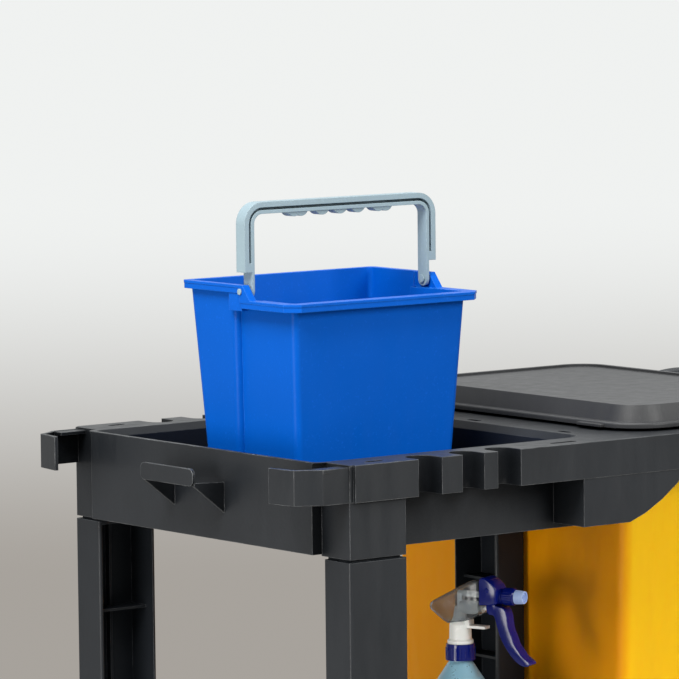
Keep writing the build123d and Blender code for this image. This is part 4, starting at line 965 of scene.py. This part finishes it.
# ------------------------------------------------------------------ sprayer
@dataclass
class Sprayer:
    """The trigger sprayer's head: clear shroud, hood, finger lever and ribbed nozzle.

    Outlines are in millimetres in the sprayer's own frame: X along the nozzle, Z up from the bottle's foot.
    """

    shroud_outline: tuple[tuple[float, float], ...] = (
        (-32.0, 272.5), (-33.0, 276.0), (-32.0, 280.5), (-20.0, 287.0), (-4.0, 295.5), (10.0, 303.0),
        (20.0, 307.5), (30.0, 309.0), (30.0, 271.0), (22.0, 265.5), (10.0, 261.0), (-10.0, 258.0),
        (-16.0, 261.0), (-24.0, 266.5))
    hood_outline: tuple[tuple[float, float], ...] = (
        (30.4, 280.5), (30.4, 309.5), (33.5, 312.0), (38.0, 311.8), (45.0, 308.0), (50.0, 303.5),
        (52.5, 299.0), (52.5, 283.0), (44.0, 281.0))
    lever_front: tuple[tuple[float, float], ...] = (
        (46.0, 293.0), (48.0, 281.5), (59.0, 278.0), (63.0, 270.0), (64.2, 262.0), (67.0, 252.0),
        (71.0, 243.0), (76.0, 234.0), (82.5, 226.0), (90.5, 219.8), (92.0, 217.2))
    lever_back: tuple[tuple[float, float], ...] = (
        (89.5, 215.2), (84.0, 215.0), (77.0, 218.0), (69.0, 225.0), (61.0, 235.5), (55.0, 246.0),
        (51.0, 258.0), (47.0, 269.0), (40.0, 271.0), (37.4, 278.0), (38.5, 294.0))
    pin_spot: Point = (41.0, 0.0, 298.0)
    nozzle_height: float = 291.0
    body_half: float = 13.0
    lever_half: float = 8.0
    dimple: float = 0.9
    knob_radius: float = 9.6
    flutes: int = 18

    def __post_init__(self) -> None:
        """Find the sprayer's place and turn from its bottle and nozzle."""
        low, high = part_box("spray_bottle")
        tip_low, tip_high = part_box("spray_nozzle")
        foot = Vector(((low.x + high.x) / 2, (low.y + high.y) / 2, low.z))
        tip = (tip_low + tip_high) / 2 - foot
        turn = math.atan2(tip.y, tip.x)
        self.place = Matrix.Translation(foot) @ Matrix.Rotation(turn, 4, "Z") @ Matrix.Scale(0.001, 4)

    def wedge(self, name: str, outline: Sequence[tuple[float, float]], half: float,
              rounding: float) -> bpy.types.Object:
        """A symmetrical slab with its edges rounded, put in its place.

        Args:
            name: The new object's name.
            outline: The corners in order, as X and Z.
            half: Half its width.
            rounding: The radius of its edges.

        Returns:
            The new object.
        """
        piece = Bench.slab(name, outline, -half, half)
        Bench.round_off(piece, rounding, 4, 0.7)
        return Bench.put(piece, self.place)

    def shroud(self) -> bpy.types.Object:
        """The clear cover, hollow, with a thin wall."""
        cover = Bench.slab("sprayer_shroud", self.shroud_outline, -self.body_half, self.body_half)
        Bench.round_off(cover, 3.0, 4, 0.7)
        Bench.apply(cover, "SOLIDIFY", thickness=1.3, offset=-1.0)
        Bench.smooth(cover, 0.7)
        return Bench.put(cover, self.place)

    def hood(self) -> bpy.types.Object:
        """The coloured hood with its nozzle seat and the ends of the lever's pin."""
        body = Bench.slab("sprayer_hood", self.hood_outline, -self.body_half, self.body_half)
        Bench.round_off(body, 2.6, 4, 0.7)
        seat = Bench.turned("seat", [(8.0, 50.0), (8.6, 50.6), (8.6, 55.4), (8.0, 56.0)], 40)
        Bench.put(seat, self.forward(self.nozzle_height))
        heads = []
        for side in Side:
            head = Bench.turned("pin_head", [(2.6, 12.4), (2.6, 13.2), (1.9, 13.8)], 24)
            turn = Matrix.Rotation(-side.value * math.pi / 2, 4, "X")
            heads.append(Bench.put(head, Matrix.Translation(self.pin_spot) @ turn))
        hood = Bench.fuse("sprayer_hood", [body, seat, *heads])
        Bench.smooth(hood, 0.7)
        return Bench.put(hood, self.place)

    @staticmethod
    def forward(height: float) -> Matrix:
        """The place of a shape turned round Z when it is laid along X at a height."""
        return Matrix.Translation((0.0, 0.0, height)) @ Matrix.Rotation(math.pi / 2, 4, "Y")

    def lever(self) -> bpy.types.Object:
        """The finger lever: a smooth curved blade, dimpled for three fingers."""
        front = self.flowing(self.lever_front, 5)
        count = len(front)
        grip_start, grip_length, fingers = 0.36, 0.56, 3
        dimpled = []
        for i, (x, z) in enumerate(front):
            along = (i / (count - 1) - grip_start) / grip_length
            wave = math.sin(math.pi * min(1.0, max(0.0, along)))
            push = self.dimple * wave * (1.0 - math.cos(2 * math.pi * fingers * along)) / 2
            dimpled.append((x - push * 0.85, z - push * 0.5))
        outline = dimpled + self.flowing(self.lever_back, 5)
        return self.wedge("sprayer_lever", outline, self.lever_half, 2.8)

    @staticmethod
    def flowing(points: Sequence[tuple[float, float]], steps: int) -> list[tuple[float, float]]:
        """A smooth curve through points, with a number of steps between each two."""
        spots = [points[0], *points, points[-1]]
        curve = []
        for a, b, c, d in zip(spots, spots[1:], spots[2:], spots[3:]):
            for step in range(steps):
                t = step / steps
                weights = (-0.5 * t + t ** 2 - 0.5 * t ** 3, 1 - 2.5 * t ** 2 + 1.5 * t ** 3,
                           0.5 * t + 2 * t ** 2 - 1.5 * t ** 3, -0.5 * t ** 2 + 0.5 * t ** 3)
                curve.append(tuple(sum(w * p[k] for w, p in zip(weights, (a, b, c, d))) for k in (0, 1)))
        return curve + [points[-1]]

    def knob(self) -> bpy.types.Object:
        """The nozzle's fluted grip."""
        r = self.knob_radius
        profile = [(r - 1.6, 56.3), (r - 0.4, 57.0), (r, 58.2), (r, 60.0), (r, 68.0), (r - 0.2, 69.6),
                   (r - 1.0, 70.6), (7.9, 71.0), (7.9, 72.0)]
        grip = Bench.turned("nozzle_grip", profile, self.flutes * 6)
        for vertex in grip.data.vertices:
            spot = vertex.co
            if 58.0 < spot.z < 69.0:
                angle = math.atan2(spot.y, spot.x)
                cut = 1.0 - 0.055 * max(0.0, math.cos(self.flutes * angle)) ** 0.6
                vertex.co = (spot.x * cut, spot.y * cut, spot.z)
        Bench.smooth(grip, 0.6)
        Bench.put(grip, self.forward(self.nozzle_height))
        return Bench.put(grip, self.place)

    def face(self) -> bpy.types.Object:
        """The nozzle's pale nose with its ringed, recessed mouth."""
        profile = [(8.0, 71.5), (7.7, 76.0), (7.3, 81.0), (6.9, 82.0), (6.0, 82.0), (5.7, 81.4),
                   (5.7, 79.5), (4.6, 79.3), (4.4, 80.6), (3.4, 80.6), (3.2, 79.2), (1.2, 79.2),
                   (1.0, 80.4), (0.6, 80.4), (0.45, 78.0)]
        nose = Bench.turned("nozzle_face", profile, 64)
        Bench.smooth(nose, 0.6)
        Bench.put(nose, self.forward(self.nozzle_height))
        return Bench.put(nose, self.place)

    def build(self, finishes: dict[str, bpy.types.Material]) -> None:
        """Model the head's parts and dress them.

        Args:
            finishes: The materials, by group name.
        """
        settle(self.shroud(), "sprayer", finishes["clear"], ["spray_shroud"])
        settle(self.hood(), "sprayer", finishes["navy"], ["spray_hood"])
        settle(self.lever(), "trigger", finishes["navy"], ["spray_trigger"])
        settle(self.knob(), "nozzle", finishes["navy"])
        settle(self.face(), "nozzle", finishes["pale"], ["spray_nozzle"])


# ------------------------------------------------------------------ bucket detail
@dataclass
class BucketScale:
    """The raised volume marks on the inside of the bucket's far wall."""

    litres: tuple[int, ...] = (2, 4, 6)
    full: float = 8.0
    span: float = 0.205
    lowest: float = 0.03
    aside: float = 0.045
    size: float = 0.011
    relief: float = 0.0005
    draft: float = 0.062
    rim: float = 0.0095

    def build(self, finish: bpy.types.Material) -> None:
        """Model a dash and a numeral at each volume.

        Args:
            finish: The bucket's plastic.
        """
        low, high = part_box("bucket")
        middle = (low.x + high.x) / 2 - self.aside
        pieces = []
        for litre in self.litres:
            height = low.z + self.span * litre / self.full + self.lowest
            wall = high.y - self.rim - self.draft * (high.z - height)
            dash = Bench.block("scale_dash", (middle, wall - self.relief, height),
                               (middle + 0.018, wall + 0.002, height + 0.0012))
            pieces.append(dash)
            Bench.clear()
            bpy.ops.object.text_add(location=(0, 0, 0))
            mark = bpy.context.object
            mark.data.body = str(litre)
            mark.data.size = self.size
            mark.data.extrude = self.relief + 0.001
            bpy.ops.object.convert(target="MESH")
            turned = Matrix.Rotation(math.pi / 2, 4, "X")
            Bench.put(mark, Matrix.Translation((middle + 0.022, wall + 0.001, height - 0.003)) @ turned)
            pieces.append(Bench.tidy(mark))
        settle(Bench.fuse("bucket_scale", pieces), "loose_bucket", finish)


# ------------------------------------------------------------------ build
def main() -> None:
    """Build every sub-assembly in order."""
    Studio().build()
    finishes = {
        "charcoal": CHARCOAL.make(), "leg": LEG_BLACK.make(), "lid": LID_GREY.make(),
        "brass": BRASS.make(), "zinc": ZINC.make(), "hub": HUB_GREY.make(), "tyre": TYRE.make(),
        "blue": BUCKET_BLUE.make(), "bail": BAIL_GREY.make(), "white": PUMP_WHITE.make(),
        "navy": NAVY.make(), "pale": NOZZLE_PALE.make(), "clear": SMOKY_CLEAR.make(),
        "bottle": BOTTLE_BLUE.make(), "liquid": LIQUID_BLUE.make(), "vinyl": BAG_YELLOW.make(),
        "thread": THREAD.make(),
    }
    FrameFinishes().dress(finishes)
    WasteBag().build(finishes["vinyl"], finishes["thread"])
    Sprayer().build(finishes)
    BucketScale().build(finishes["blue"])
    LOG.info("cart finished")


if __name__ == "__main__":
    main()
